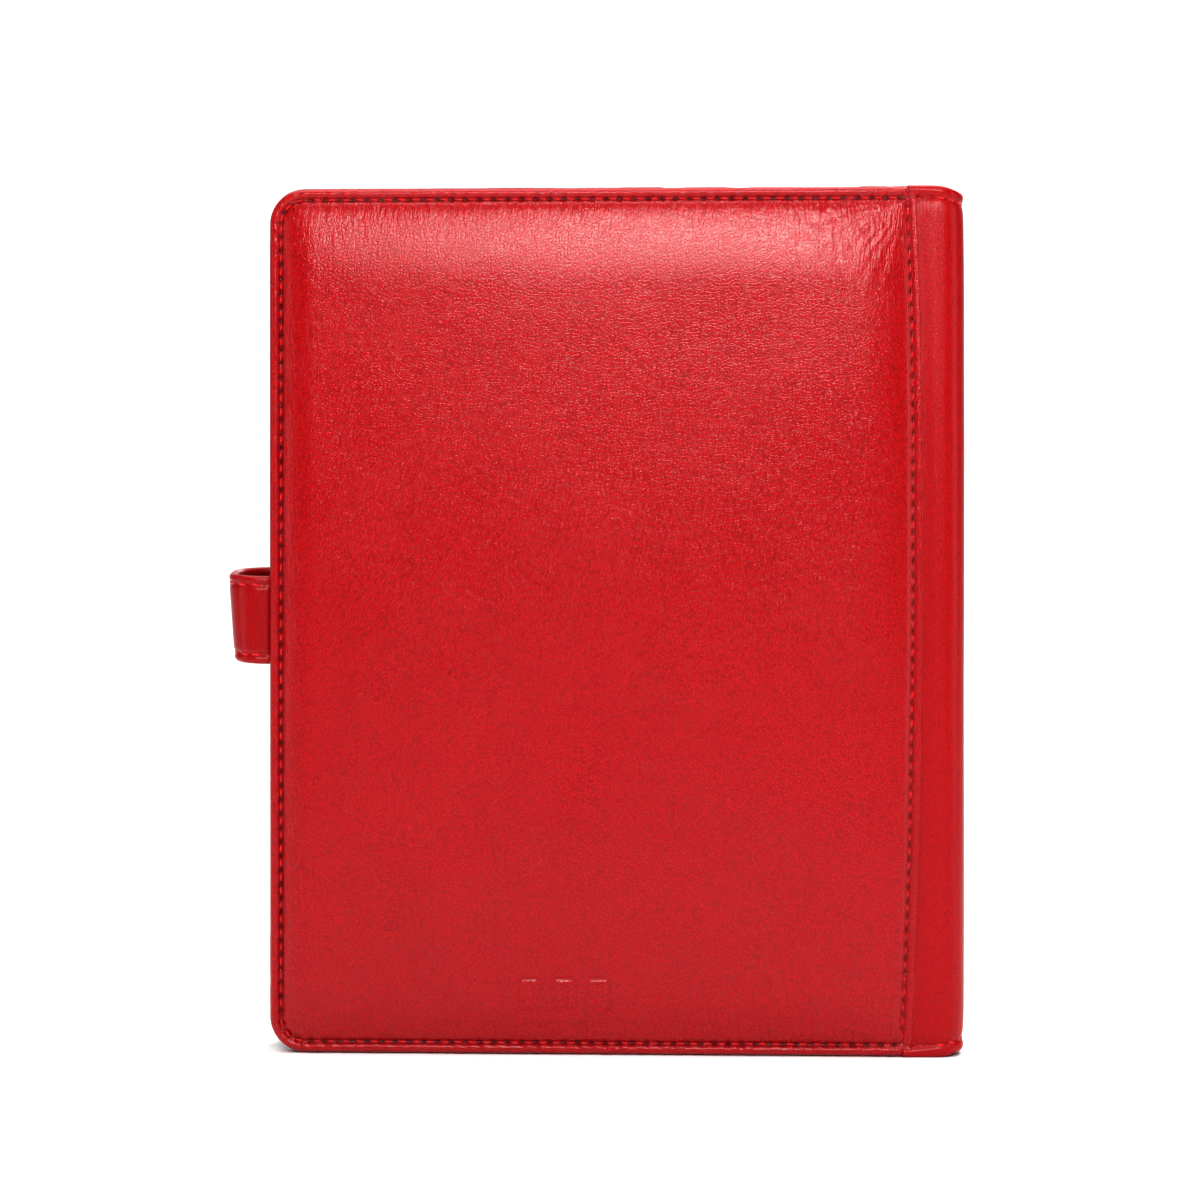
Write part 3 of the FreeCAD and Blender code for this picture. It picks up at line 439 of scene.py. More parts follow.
def board_material():
    m, nt, b = material("grey_board_mat")
    vec = coords(nt)
    n1 = node(nt, "ShaderNodeTexNoise", Scale=500.0, Detail=6.0, Roughness=0.7)
    nt.links.new(vec, n1.inputs["Vector"])
    col = ramp(nt, n1.outputs["Fac"], [(0.3, (0.20, 0.19, 0.17)), (0.7, (0.36, 0.34, 0.31))])
    nt.links.new(col.outputs[0], b.inputs["Base Color"])
    bp = nt.nodes.new("ShaderNodeBump")
    bp.inputs["Strength"].default_value = 0.4
    bp.inputs["Distance"].default_value = 0.0001
    nt.links.new(n1.outputs["Fac"], bp.inputs["Height"])
    nt.links.new(bp.outputs[0], b.inputs["Normal"])
    b.inputs["Roughness"].default_value = 0.9
    return m


M_BOARD = board_material()


# ----------------------------------------------------------------------------
# covers
# ----------------------------------------------------------------------------
def to_row(lx, w, z, side):
    """Cover coordinates (along the cover, depth from its outer face, height) to the row frame, mm."""
    a = -TILT
    x = EDGE_X + lx * math.cos(a) - w * math.sin(a)
    y = -HALF + lx * math.sin(a) + w * math.cos(a)
    return np.stack([x + OX, (y if side < 0 else -y) + OY, z + 0 * x], -1)


def seam_shift(z):
    """How far the spine seam lies from its mean line: it bows along the height."""
    t = z / H
    return np.interp(t, [0.0, 0.10, 0.25, 0.5, 0.72, 0.86, 1.0], [-2.55, -1.55, -0.35, 0.45, 0.45, 0.05, -1.15])


def lines(parts):
    """Grid stops from (from, to, step) stretches."""
    out = [parts[0][0]]
    for a, b, step in parts:
        n = max(1, int(round((b - a) / step)))
        out += list(a + (b - a) * (np.arange(1, n + 1) / n))
    return np.array(out)


def mark_depth(x, z):
    """Depth of the plain pressed marks near the lower edge: three card outlines and a row of bars."""
    def rrect(cx, cz, hw, hh, r):
        qx, qz = np.abs(x - cx) - (hw - r), np.abs(z - cz) - (hh - r)
        return np.hypot(np.maximum(qx, 0), np.maximum(qz, 0)) + np.minimum(np.maximum(qx, qz), 0) - r
    dep = np.zeros_like(x)
    line = lambda sd, hw: 1 - smooth((np.abs(sd) - hw) / 0.35)
    # x is measured from the middle of the covers
    for cx in (-8.6, 0.0, 8.6):
        sd = rrect(cx, 15.6, 2.7, 3.7, 0.7)
        dep = np.maximum(dep, line(sd, 0.22))
        inner = rrect(cx, 15.6, 1.25, 2.0, 0.3)
        dep = np.maximum(dep, 0.8 * (1 - smooth((inner + 0.1) / 0.35)))
    rs = np.random.RandomState(11)
    cx = -36.5
    while cx < 36.0:
        w_ = rs.choice([1.2, 1.6, 2.4, 3.6, 5.2])
        w_ = min(w_, 36.6 - cx)
        sd = rrect(cx + w_ / 2, 7.7, w_ / 2, 0.75, 0.35)
        dep = np.maximum(dep, 0.85 * (1 - smooth((sd + 0.15) / 0.4)))
        cx += w_ + 0.9
    return dep


def cover(side):
    back = side < 0
    name = "back_cover_padded" if back else "front_cover_padded"
    if back:
        us = lines([(0, 3.5, 0.35), (3.5, 17.5, 0.583), (17.5, 45.5, 1.1667), (45.5, 122.5, 0.3889), (122.5, 147.0, 1.1667), (147.0, L, 0.5)])
        vs = lines([(0, 3.5, 0.35), (3.5, 21.0, 0.389), (21.0, 199.5, 1.1667), (199.5, 210.0, 0.583), (210.0, H, 0.36)])
    else:
        us = lines([(0, 3.5, 0.35), (3.5, 21.0, 0.583), (21.0, 147.0, 1.1667), (147.0, L, 0.5)])
        vs = lines([(0, 3.5, 0.35), (3.5, 14.0, 0.583), (14.0, 98.0, 1.1667), (98.0, 122.5, 0.583), (122.5, 199.5, 1.1667), (199.5, 210.0, 0.583), (210.0, H, 0.36)])
    U, V = np.meshgrid(us, vs, indexing="ij")          # U: distance from the fore-edge, V: height
    du, db, dt = U, V, H - V
    d = np.minimum(du, np.minimum(db, dt))
    # plan position, with the square grid corners bent round
    px, pz = -L + U, V.copy()
    for low in (True, False):
        dv = db if low else dt
        m = (du < CORNER) & (dv < CORNER)
        a, b_ = (CORNER - du[m]) / CORNER, (CORNER - dv[m]) / CORNER
        mx = np.maximum(a, b_)
        mn = np.minimum(a, b_)
        ph = (math.pi / 4) * mn / np.maximum(mx, 1e-9)
        ph = np.where(a >= b_, ph, math.pi / 2 - ph)
        px[m] = -L + CORNER - CORNER * mx * np.cos(ph)
        pz[m] = (CORNER - CORNER * mx * np.sin(ph)) if low else (H - CORNER + CORNER * mx * np.sin(ph))
    # run along the stitch line, for what repeats with the stitches
    run = np.where(du <= np.minimum(db, dt), V, np.where(db < dt, -U, 280.0 + U))
    # the spine side follows the bowed seam
    shift = seam_shift(V) * smooth((U - 60.0) / (L - 60.0))
    px = px + shift
    ds = (L - 2.3) - U                                   # distance from the spine seam, towards the pad
    # height of the surface above the board face of the cover
    bead = np.where(
        d < 1.5,
        0.14 - 2.44 * (1 - np.sqrt(np.clip(1 - ((1.5 - d) / 1.5) ** 2, 0, 1))),
        0.14 - 1.12 * np.clip((d - 1.5) / 1.5, 0, 1) ** 2.6,
    )
    q = np.maximum(d - STITCH_IN, 0)
    qs = np.maximum(ds, 0)
    pillow = (
        shoulder(du - STITCH_IN, 9.0) * shoulder(dt - STITCH_IN, 22.0)
        * shoulder(db - STITCH_IN, 14.0) * shoulder(ds, 15.0)
    )
    crown = (1 - np.exp(-q / 30.0)) * (1 - np.exp(-qs / 30.0))
    padp = -0.98 + 1.10 * (1 - np.exp(-np.minimum(q, qs) / 0.9)) + 2.15 * pillow + 0.55 * crown
    p = np.where(q > 0, padp, bead)
    # the lapped band beyond the seam, and its folded edge
    band = (ds <= 0)
    bandp = -0.95 + 0.62 * smooth(-ds / 0.8)
    p = np.where(band & (d > STITCH_IN), bandp, p)
    p = np.where(band & (d <= STITCH_IN), np.minimum(p, bandp + 0.25), p)
    # softness: slow unevenness of the foam
    inside = smooth((np.minimum(d - 3, ds)) / 12.0)
    p = p + inside * (0.16 * noise(U / 38.0, V / 44.0, 3) + 0.05 * noise(U / 13.0, V / 15.0, 4))
    # puckers: the leather is drawn in at each stitch
    ph = run / PITCH
    wob = noise(run / 9.0, 0 * run, 5) * 0.35
    wave = np.cos(2 * math.pi * (ph + wob * 0.12))
    near_in = np.exp(-np.abs(d - STITCH_IN) / 1.6) * (d > STITCH_IN - 0.001)
    near_out = np.exp(-((d - 2.3) / 0.75) ** 2)
    fade = smooth((ds + 1.0) / 3.0)
    p = p - fade * 0.16 * near_in * wave * (0.7 + 0.5 * noise(run / 5.0, d / 3.0, 6))
    p = p - fade * 0.15 * near_out * wave * (0.8 + 0.6 * noise(run / 4.0, d / 3.0, 7))
    # bead: long slow swell
    p = p + 0.09 * np.exp(-((d - 1.4) / 1.0) ** 2) * noise(run / 11.0, 0 * d, 8)
    # stitch holes
    hole = np.exp(-(((run / PITCH) - np.round(run / PITCH)) * PITCH / 0.42) ** 2) * np.exp(-((d - STITCH_IN) / 0.45) ** 2)
    p = p - 0.42 * hole * fade
    zp = V / PITCH
    hole_s = np.exp(-((zp - np.round(zp)) * PITCH / 0.42) ** 2) * np.exp(-(ds / 0.42) ** 2) * (d > 3.2)
    p = p - 0.42 * hole_s
    wave_s = np.cos(2 * math.pi * zp)
    p = p - 0.10 * np.exp(-np.clip(ds, 0, 50) / 1.4) * (ds > 0) * wave_s * (d > 4)
    # diagonal draw lines into the upper and lower spine corners
    for low in (False, True):
        dv = db if low else dt
        r_ = np.hypot(ds, dv - 3.0)
        ang = np.arctan2(dv - 3.0, np.maximum(ds, 0.01))
        amp = (0.055 if not low else 0.045) * np.exp(-((r_ - 14.0) / 11.0) ** 2) * (ds > 0) * (dv > 3)
        p = p + amp * np.sin(ang * 40.0 + 2.2 * noise(r_ / 6.0, ang * 2, 9)) * smooth((math.pi / 2 - ang) / 0.4) * smooth(ang / 0.2)
    # the very edge keeps its plain roll, so that it meets the inner side
    rest_p = np.where(U > L - 1.2, p, -2.30)
    keep_w = smooth(d / 0.7)
    p = np.where(d < 0.7, p * keep_w + np.where(U > L - 1.2, p, bead) * (1 - keep_w), p)
    p = np.where((d < 1e-6) & (U <= L - 1.2), rest_p, p)
    if back:
        xm = px + EDGE_X + 9.0
        p = p - 0.26 * mark_depth(xm, pz)
    else:
        rs_ = np.hypot(px - (-154.1), pz - 109.5)
        p = p + (0.02 - p) * (1 - smooth((rs_ - 5.6) / 3.2))
    wtop = -p
    outer = to_row(px, wtop, pz, side)
    # inner side: rolls round under the bead to the hem, flat against the lining
    wi = np.where(d < 1.5, 4.55 - 2.25 * (1 - np.sqrt(np.clip(1 - ((1.5 - d) / 1.5) ** 2, 0, 1))), 4.55)
    edge_r = smooth((L - U) / 1.2)
    wi = wi * edge_r + (1.35) * (1 - edge_r)
    # coarser inner grid: same grid, every point kept only near the rim
    inner = to_row(px, wi, pz, side)
    crease_amt = 0.8 * np.exp(-np.clip(d - 3.0, 0, 60) / 5.5) * (d > 2.0) * smooth((d - 1.6) / 1.2)
    corner_amt = np.exp(-(np.hypot(ds, dt) / 26.0) ** 2) * (ds > 0) * 0.9 + np.exp(-(np.hypot(ds, db) / 26.0) ** 2) * (ds > 0) * 0.7
    crease_amt = np.clip(crease_amt + 0.8 * corner_amt + 0.04, 0, 1) * (ds > -0.5)
    lean = np.clip((px + 85.0) / 60.0 * 1.0, -1, 1) * np.where(V > H / 2, -1.0, 1.0)
    nu, nv = U.shape
    # thin the inner grid to keep the piece light
    iu = np.unique(np.concatenate([np.arange(0, 12), np.arange(12, nu - 12, 14), np.arange(nu - 12, nu)]))
    iv = np.unique(np.concatenate([np.arange(0, 12), np.arange(12, nv - 12, 10), np.arange(nv - 12, nv)]))
    verts = [outer.reshape(-1, 3)]
    faces = [grid_faces(nu, nv)]
    sub = inner[np.ix_(iu, iv)]
    base = nu * nv
    verts.append(sub.reshape(-1, 3))
    faces.append(grid_faces(len(iu), len(iv), base, flip=True))
    quads = np.concatenate(faces).tolist()
    # rim: each side is stitched between the fine outer row and the thinned inner row
    def rim(outer_idx, inner_idx, keep, flip):
        res = []
        for k in range(len(keep) - 1):
            o0, o1 = keep[k], keep[k + 1]
            poly = [outer_idx(o) for o in range(o0, o1 + 1)] + [inner_idx(k + 1), inner_idx(k)]
            res.append(poly[::-1] if flip else poly)
        return res
    niv = len(iv)
    quads += rim(lambda j: 0 * nv + j, lambda k: base + 0 * niv + k, iv, True)
    quads += rim(lambda j: (nu - 1) * nv + j, lambda k: base + (len(iu) - 1) * niv + k, iv, False)
    quads += rim(lambda i: i * nv, lambda k: base + k * niv, iu, False)
    quads += rim(lambda i: i * nv + nv - 1, lambda k: base + k * niv + niv - 1, iu, True)
    # painted shade: the stitch holes and a line along the stitch groove, darkened in the colour through this attribute
    dark = 0.72 * np.clip(hole * fade + hole_s, 0, 1) + 0.40 * np.exp(-((d - STITCH_IN - 0.1) / 0.32) ** 2) * fade
    dark = np.clip(dark, 0, 1)
    att = {
        "dark": np.concatenate([dark.reshape(-1), np.zeros(len(iu) * len(iv))]),
        "crease": np.concatenate([crease_amt.reshape(-1), np.zeros(len(iu) * len(iv))]),
        "lean": np.concatenate([lean.reshape(-1), np.zeros(len(iu) * len(iv))]),
    }
    ob = make_mesh(name, np.concatenate(verts), quads, attrs=att, mats=[M_COVER])
    outward(ob)
    body = "back_cover" if back else "front_cover"
    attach(ob, body)
    pre = "back_cover_" if back else "front_cover_"
    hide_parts(pre + "skin", pre + "padding")
    return ob


# ----------------------------------------------------------------------------
# stitches: each one a short bent length of thread between two holes
# ----------------------------------------------------------------------------
def stitch_mesh(name, places, mats, length=2.3, radius=0.27, drop=0.62, slant=0.14):
    """places: list of (centre, tangent, normal) in mm; a stitch lies along the tangent."""
    rings, seg = 7, 7
    verts, faces = [], []
    rs = np.random.RandomState(7)
    for c, t, n in places:
        c, t, n = (np.asarray(v, float) for v in (c, t, n))
        t = t / np.linalg.norm(t)
        n = n / np.linalg.norm(n)
        b = np.cross(t, n)
        t = t + b * (slant + rs.uniform(-0.04, 0.04))
        t = t / np.linalg.norm(t)
        b = np.cross(t, n)
        ln = length * (1 + rs.uniform(-0.06, 0.06))
        up = rs.uniform(-0.04, 0.05)
        base = len(verts)
        for r in range(rings):
            f = r / (rings - 1) * 2 - 1
            mid = c + t * (f * ln / 2) + n * (up - drop * f ** 4 - 0.10 * f * f)
            rad = radius * (1.0 - 0.25 * f ** 6)
            dirn = t - n * (drop * 4 * f ** 3 * 2 / ln)
            dirn = dirn / np.linalg.norm(dirn)
            nn = np.cross(b, dirn)
            for s in range(seg):
                a = 2 * math.pi * s / seg
                verts.append(mid + b * (rad * 1.1 * math.cos(a)) + nn * (rad * 0.85 * math.sin(a)))
        for r in range(rings - 1):
            for s in range(seg):
                s2 = (s + 1) % seg
                faces.append([base + r * seg + s, base + r * seg + s2, base + (r + 1) * seg + s2, base + (r + 1) * seg + s])
        faces.append([base + s for s in range(seg)][::-1])
        faces.append([base + (rings - 1) * seg + s for s in range(seg)])
    ob = make_mesh(name, verts, faces, mats=mats)
    return outward(ob)


def perimeter_places(side):
    """Centres of the stitches round the fore-edge, top and bottom of a cover."""
    a = -TILT
    n_row = np.array([math.sin(a), -math.cos(a), 0.0])
    if side > 0:
        n_row = np.array([math.sin(a), math.cos(a), 0.0])
    out = []

    def add(lx, z, tx, tz):
        c = to_row(np.array(lx), np.array(0.72), np.array(z), side)
        c2 = to_row(np.array(lx + tx * 0.1), np.array(0.72), np.array(z + tz * 0.1), side)
        out.append((c, c2 - c, n_row))

    si, r = STITCH_IN, CORNER
    # fore-edge
    k0, k1 = math.ceil((r + 0.2) / PITCH - 0.5), math.floor((H - r - 0.2) / PITCH - 0.5)
    for k in range(k0, k1 + 1):
        add(-L + si, (k + 0.5) * PITCH, 0, 1)
    # bottom and top
    u_end = L - 3.4
    for k in range(math.ceil((r + 0.2) / PITCH - 0.5), math.floor(u_end / PITCH - 0.5) + 1):
        u = (k + 0.5) * PITCH
        sh = float(seam_shift(np.array(3.0)) * smooth((u - 60.0) / (L - 60.0)))
        add(-L + u + sh, si, 1, 0)
    for k in range(math.ceil((r + 0.2) / PITCH - 0.5), math.floor(u_end / PITCH - 0.5) + 1):
        u = (k + 0.5) * PITCH
        sh = float(seam_shift(np.array(H - 3.0)) * smooth((u - 60.0) / (L - 60.0)))
        add(-L + u + sh, H - si, 1, 0)
    # corners
    for low in (True, False):
        for f in (1 / 6, 0.5, 5 / 6):
            ph = f * math.pi / 2
            rr = r - si
            lx = -L + r - rr * math.cos(ph)
            z = (r - rr * math.sin(ph)) if low else (H - r + rr * math.sin(ph))
            add(lx, z, math.sin(ph), -math.cos(ph) if low else math.cos(ph))
    return out


def seam_places(side):
    a = -TILT
    n_row = np.array([math.sin(a), -math.cos(a) if side < 0 else math.cos(a), 0.0])
    out = []
    for k in range(1, int(H / PITCH)):
        z = (k + 0.5) * PITCH
        if z < 4.2 or z > H - 4.2:
            continue
        f = lambda zz: to_row(np.array(-2.3 + float(seam_shift(np.array(zz)))), np.array(0.78), np.array(zz), side)
        out.append((f(z), f(z + 0.2) - f(z), n_row))
    return out


back = cover(-1)
front = cover(1)
for side, body in ((-1, "back_cover"), (1, "front_cover")):
    word = "back" if side < 0 else "front"
    s1 = stitch_mesh(word + "_edge_stitches", perimeter_places(side), [M_THREAD])
    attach(s1, body)
    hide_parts(word + "_cover_thread")
    s2 = stitch_mesh(word + "_seam_stitches", seam_places(side), [M_THREAD], length=2.1)
    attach(s2, body)
    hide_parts(word + "_seam_thread")

# ----------------------------------------------------------------------------
# spine leather: from under the cover's folded edge, round the spine corner, to
# the middle of the spine, once for each half
# ----------------------------------------------------------------------------
ACX, ACY = SPINE_X - SPINE_R, HALF - SPINE_R
PI2 = math.pi / 2


def spine_path(side, s_arr, z_arr, depth):
    """Point at distance s past the cover's edge, at height z and depth below the leather's face, mm."""
    arc_len = SPINE_R * PI2
    x0 = EDGE_X
    flat = ACX - x0
    s_, z_ = np.broadcast_arrays(np.asarray(s_arr, float), np.asarray(z_arr, float))
    dep = np.broadcast_to(depth, s_.shape)
    t1 = s_ - flat
    ang = np.clip(t1 / SPINE_R, 0, PI2)
    t2 = np.maximum(s_ - flat - arc_len, 0)
    x = np.where(t1 < 0, x0 + s_, ACX + (SPINE_R - dep) * np.sin(ang))
    y = np.where(t1 < 0, -HALF + dep, -(ACY + (SPINE_R - dep) * np.cos(ang)))
    x = np.where(t2 > 0, SPINE_X - dep, x)
    y = np.where(t2 > 0, -ACY + t2, y)
    # the spine draws in a little towards its ends
    ends = np.maximum(0, np.abs(z_ - H / 2) - 78) / 30.0
    draw = 0.3 * ends ** 2 * smooth((x - 82) / 8.0)
    x = x - draw
    return x, y, z_


def spine_half_mesh(name, side, z_lines, s_lines, depth_out, depth_in, mat, hem=True):
    S, Z = np.meshgrid(s_lines, z_lines, indexing="ij")
    dz = np.minimum(Z, H - Z)
    if hem:
        bead_p = np.where(
            dz < 1.5,
            0.10 - 0.85 * (1 - np.sqrt(np.clip(1 - ((1.5 - dz) / 1.5) ** 2, 0, 1))),
            0.10 - 0.62 * np.clip((dz - 1.5) / 1.5, 0, 1) ** 1.8,
        )
        body_p = -0.52 + 0.62 * (1 - np.exp(-np.maximum(dz - 3, 0) / 1.3))
        pp = np.where(dz <= 3, bead_p, body_p)
        holes = np.exp(-((S / 3.2 - np.round(S / 3.2)) * 3.2 / 0.4) ** 2) * np.exp(-((dz - 3) / 0.4) ** 2)
        pp = pp - 0.35 * holes - 0.07 * np.cos(2 * math.pi * S / 3.2) * np.exp(-np.abs(dz - 3) / 1.2)
    else:
        pp = 0 * dz
    # lies lower where it comes out from under the cover's folded edge
    under = 1 - smooth((S + 0.5) / 4.5)
    pp = pp - 0.75 * under * smooth((dz - 1.0) / 2.5)
    pp = pp + 0.10 * noise(S / 9.0, Z / 30.0, 21 + (side > 0)) * smooth(S / 4.0) * smooth((dz - 3) / 8.0)
    shift = seam_shift(Z) * (1 - smooth(S / 6.5))
    drop = smooth((S - 3.0) / 10.0) * (1.35 * smooth((Z - 185.0) / 30.0) - 1.1 * smooth((30.0 - Z) / 30.0))
    xo, yo, zo = spine_path(side, S, Z, depth_out - pp)
    zo = zo - drop
    xi, yi, zi = spine_path(side, S, Z, depth_in + np.where(dz < 3.0, 0.5, 0.0) * (1 if hem else 0))
    zi2 = zi - drop
    o = np.stack([xo + shift + OX, (yo if side < 0 else -yo) + OY, zo], -1)
    i = np.stack([xi + shift + OX, (yi if side < 0 else -yi) + OY, zi2], -1)
    crease_amt = np.clip(np.exp(-np.maximum(dz - 3, 0) / 5.0) * (dz > 2) * 0.7, 0, 1)
    lean = np.clip((S - 8) / 8, -1, 1)
    ob = shell(name, o, i, {"crease": crease_amt, "lean": lean}, mats=[mat])
    return outward(ob)


TOTAL = (ACX - EDGE_X) + SPINE_R * PI2 + ACY
zl = lines([(0, 4.2, 0.30), (4.2, 10, 0.8), (10, 205, 2.2), (205, 210.8, 0.8), (210.8, H, 0.30)])
sl = lines([(-2.0, 1.0, 0.35), (1.0, TOTAL, 0.42)])
a_pt = lambda x, y, side: ((x + OX) * MM, ((y if side < 0 else -y) + OY) * MM, H / 2 * MM)
for side, word, pair in ((-1, "back", ("back_cover", "spine")), (1, "front", ("spine", "front_cover"))):
    sp = spine_half_mesh(word + "_spine_leather", side, zl, sl, 0.0, 0.85, M_SPINE)
    start, end = a_pt(ACX - 0.6, -HALF - 0.6, side), a_pt(SPINE_X + 0.6, -ACY + 0.6, side)
    if side > 0:
        start, end = end, start
    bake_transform(sp)
    if side < 0:
        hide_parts("back_hinge_leather", "spine_skin")
    else:
        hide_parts("front_hinge_leather")
    # fabric behind the fold, from the cover's lining to the spine's
    ln = spine_half_mesh(word + "_fold_lining", side, lines([(5, H - 5, 4.0)]), lines([(-1.5, ACX - EDGE_X + SPINE_R * PI2 + 1.5, 0.6)]),
                         1.05, 1.30, M_LINING, hem=False)
    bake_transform(ln)
    # hem stitches along the top and bottom of the spine leather
    pl = []
    for z in (3.0, H - 3.0):
        k = 1
        while (k + 0.5) * 3.2 < TOTAL - 0.2:
            s0 = (k + 0.5) * 3.2
            p0 = np.array([float(v) for v in spine_path(side, s0, z, 0.40)])
            p1 = np.array([float(v) for v in spine_path(side, s0 + 0.1, z, 0.40)])
            q0 = np.array([float(v) for v in spine_path(side, s0, z, 0.0)])
            fall = float(smooth((s0 - 3.0) / 10.0)) * (1.35 if z > H / 2 else -1.1)
            for v in (p0, p1, q0):
                v[2] -= fall
                v[0] += OX
                v[1] = (v[1] if side < 0 else -v[1]) + OY
            pl.append((p0, p1 - p0, q0 - p0))
            k += 1
    st = stitch_mesh(word + "_spine_stitches", pl, [M_THREAD], length=2.0, radius=0.30, drop=0.6)
    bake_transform(st)
    if side < 0:
        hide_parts("spine_thread")

# ----------------------------------------------------------------------------
# strap: one continuous piece, sewn under the back cover's hem, round the
# fore-edge, to the snap on the front cover
# ----------------------------------------------------------------------------
R1, R2, FX, LIFT, TH = 8.6, 7.0, -84.0, 3.2, 2.0
line_y = HALF + (FX - EDGE_X) * math.tan(TILT) + (LIFT + TH / 2) / math.cos(TILT)
fold_c = np.array([FX, line_y - R1 / math.cos(TILT)])
pivot = np.array([FX - R1, fold_c[1]])
mid_y = -HALF + (-L - 0.5) * math.sin(-TILT) + 4.3 * math.cos(-TILT)
loop_c = np.array([pivot[0] + R2, mid_y + R2])
along = np.array([math.cos(TILT), math.sin(TILT)])
across = np.array([-math.sin(TILT), math.cos(TILT)])
fold_top = fold_c + across * R1
straight = (-68.0 - fold_top[0]) / math.cos(TILT)
segs = [
    ("line", np.array([-81.0, mid_y]), loop_c + np.array([0, -R2])),
    ("arc", loop_c, R2, -PI2, -math.pi),
    ("line", loop_c + np.array([-R2, 0]), pivot),
    ("arc", fold_c, R1, math.pi, PI2 + TILT),
    ("line", fold_top, fold_top + along * straight),
]


def seg_len(s):
    return np.linalg.norm(s[2] - s[1]) if s[0] == "line" else abs(s[4] - s[3]) * s[2]


cum = np.concatenate([[0], np.cumsum([seg_len(s) for s in segs])])
S_TOTAL = cum[-1]


def strap_at(s):
    """Middle-line point and outward normal (away from the loop's inside) at run s, in XY, mm."""
    k = min(max(int(np.searchsorted(cum, s, side="right")) - 1, 0), len(segs) - 1)
    g = segs[k]
    t = s - cum[k]
    if g[0] == "line":
        dirn = (g[2] - g[1]) / np.linalg.norm(g[2] - g[1])
        pt = g[1] + dirn * t
    else:
        sgn = 1 if g[4] > g[3] else -1
        a = g[3] + sgn * t / g[2]
        pt = g[1] + g[2] * np.array([math.cos(a), math.sin(a)])
        dirn = sgn * np.array([-math.sin(a), math.cos(a)])
    nrm = np.array([dirn[1], -dirn[0]])
    # outward: away from the loop's middle
    if np.dot(nrm, pt - np.array([-84.0, 3.5])) < 0:
        nrm = -nrm
    return pt, nrm


Z0 = 96.5
RISE = 2.0


def strap_rise(s):
    return RISE * float(smooth((s - 2.0) / (cum[4] - 2.0)))


def strap_point(s, v, h):
    """Row point at run s, v across the width (-11..11), h above the middle surface, mm."""
    pt, nrm = strap_at(s)
    z = Z0 + 11.0 + v + strap_rise(s)
    # the loop is drawn in a little at its lower edge
    loop = math.exp(-((s - (cum[2] + 1.5)) / 9.0) ** 2)
    dx = 0.075 * (11.0 - v) * loop
    xy = pt + nrm * h
    return np.array([xy[0] + dx + OX, xy[1] + OY, z])


s_rows = lines([(0, S_TOTAL - 8.0, 0.55), (S_TOTAL - 8.0, S_TOTAL, 0.30)])
half_sec = []
vs_ = np.concatenate([lines([(-10.0, -6.5, 0.35)]), lines([(-6.5, 6.5, 1.3)])[1:], lines([(6.5, 10.0, 0.35)])[1:]])


def strap_section(s, hw):
    """Closed section: list of (v, h), outer face first then the inner face."""
    k = hw / 11.0
    pts = []
    for v in vs_:
        e = 10.0 - abs(v) + 1.0                       # distance from the strap's long edge
        dip = -0.42 * math.exp(-((e - 2.3) / 0.55) ** 2)
        body_ = 0.10 * (1 - math.exp(-max(e - 2.3, 0) / 1.5))
        ph_ = s / 3.4
        dip -= 0.25 * math.exp(-((e - 2.3) / 0.4) ** 2) * math.exp(-((ph_ - round(ph_)) * 3.4 / 0.4) ** 2)
        dip -= 0.05 * math.cos(2 * math.pi * ph_) * math.exp(-abs(e - 2.3) / 1.0)
        pts.append((v * k, 1.0 + dip + body_))
    for a in (60, 30, 0, -30, -60):
        r = math.radians(a)
        pts.append((k * (10.0 + 1.0 * math.cos(r)), 1.0 * math.sin(r)))
    for v in vs_[::-1]:
        e = 11.0 - abs(v)
        dip = -0.30 * math.exp(-((e - 2.3) / 0.5) ** 2)
        pts.append((v * k, -(1.0 + dip)))
    for a in (240, 210, 180, 150, 120):
        r = math.radians(a)
        pts.append((-k * (10.0 + 1.0 * abs(math.cos(r))), 1.0 * math.sin(r)))
    return pts


verts, n_sec = [], None
for s in s_rows:
    rest = S_TOTAL - s
    hw = 11.0 if rest > 6.0 else 5.0 + math.sqrt(max(36.0 - (6.0 - rest) ** 2, 0.0))
    thin = 1.0 if rest > 0.9 else math.sqrt(max(1 - (1 - rest / 0.9) ** 2, 0.02))
    start_thin = 0.35 + 0.65 * float(smooth(s / 3.0))
    sec = strap_section(s, max(hw, 0.4))
    n_sec = len(sec)
    for v, h in sec:
        verts.append(strap_point(s, v, h * thin * start_thin))
nr = len(s_rows)
faces = grid_faces(nr, n_sec, wrap_v=True).tolist()
faces.append(list(range(n_sec))[::-1])
faces.append([(nr - 1) * n_sec + j for j in range(n_sec)])
strap = outward(make_mesh("strap", verts, faces, mats=[M_STRAP]))
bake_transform(strap)
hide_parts("strap_base", "strap_tip")

pl = []
for v in (-11 + 2.3, 11 - 2.3):
    k = 1
    while (k + 0.5) * 3.4 < S_TOTAL - 5.0:
        s = (k + 0.5) * 3.4
        c = strap_point(s, v, 0.72)
        c2 = strap_point(s + 0.1, v, 0.72)
        n_ = strap_point(s, v, 1.72) - c
        pl.append((c, c2 - c, n_))
        k += 1
# across the free end
for k in range(-1, 2):
    s = S_TOTAL - 2.6
    c = strap_point(s, k * 3.6, 0.78)
    c2 = strap_point(s, k * 3.6 + 0.1, 0.78)
    pl.append((c, c2 - c, strap_point(s, k * 3.6, 1.78) - c))
sst = stitch_mesh("strap_stitches", pl, [M_THREAD], length=2.3, radius=0.30, drop=0.6)
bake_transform(sst)
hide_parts("strap_base_thread", "strap_tip_thread")


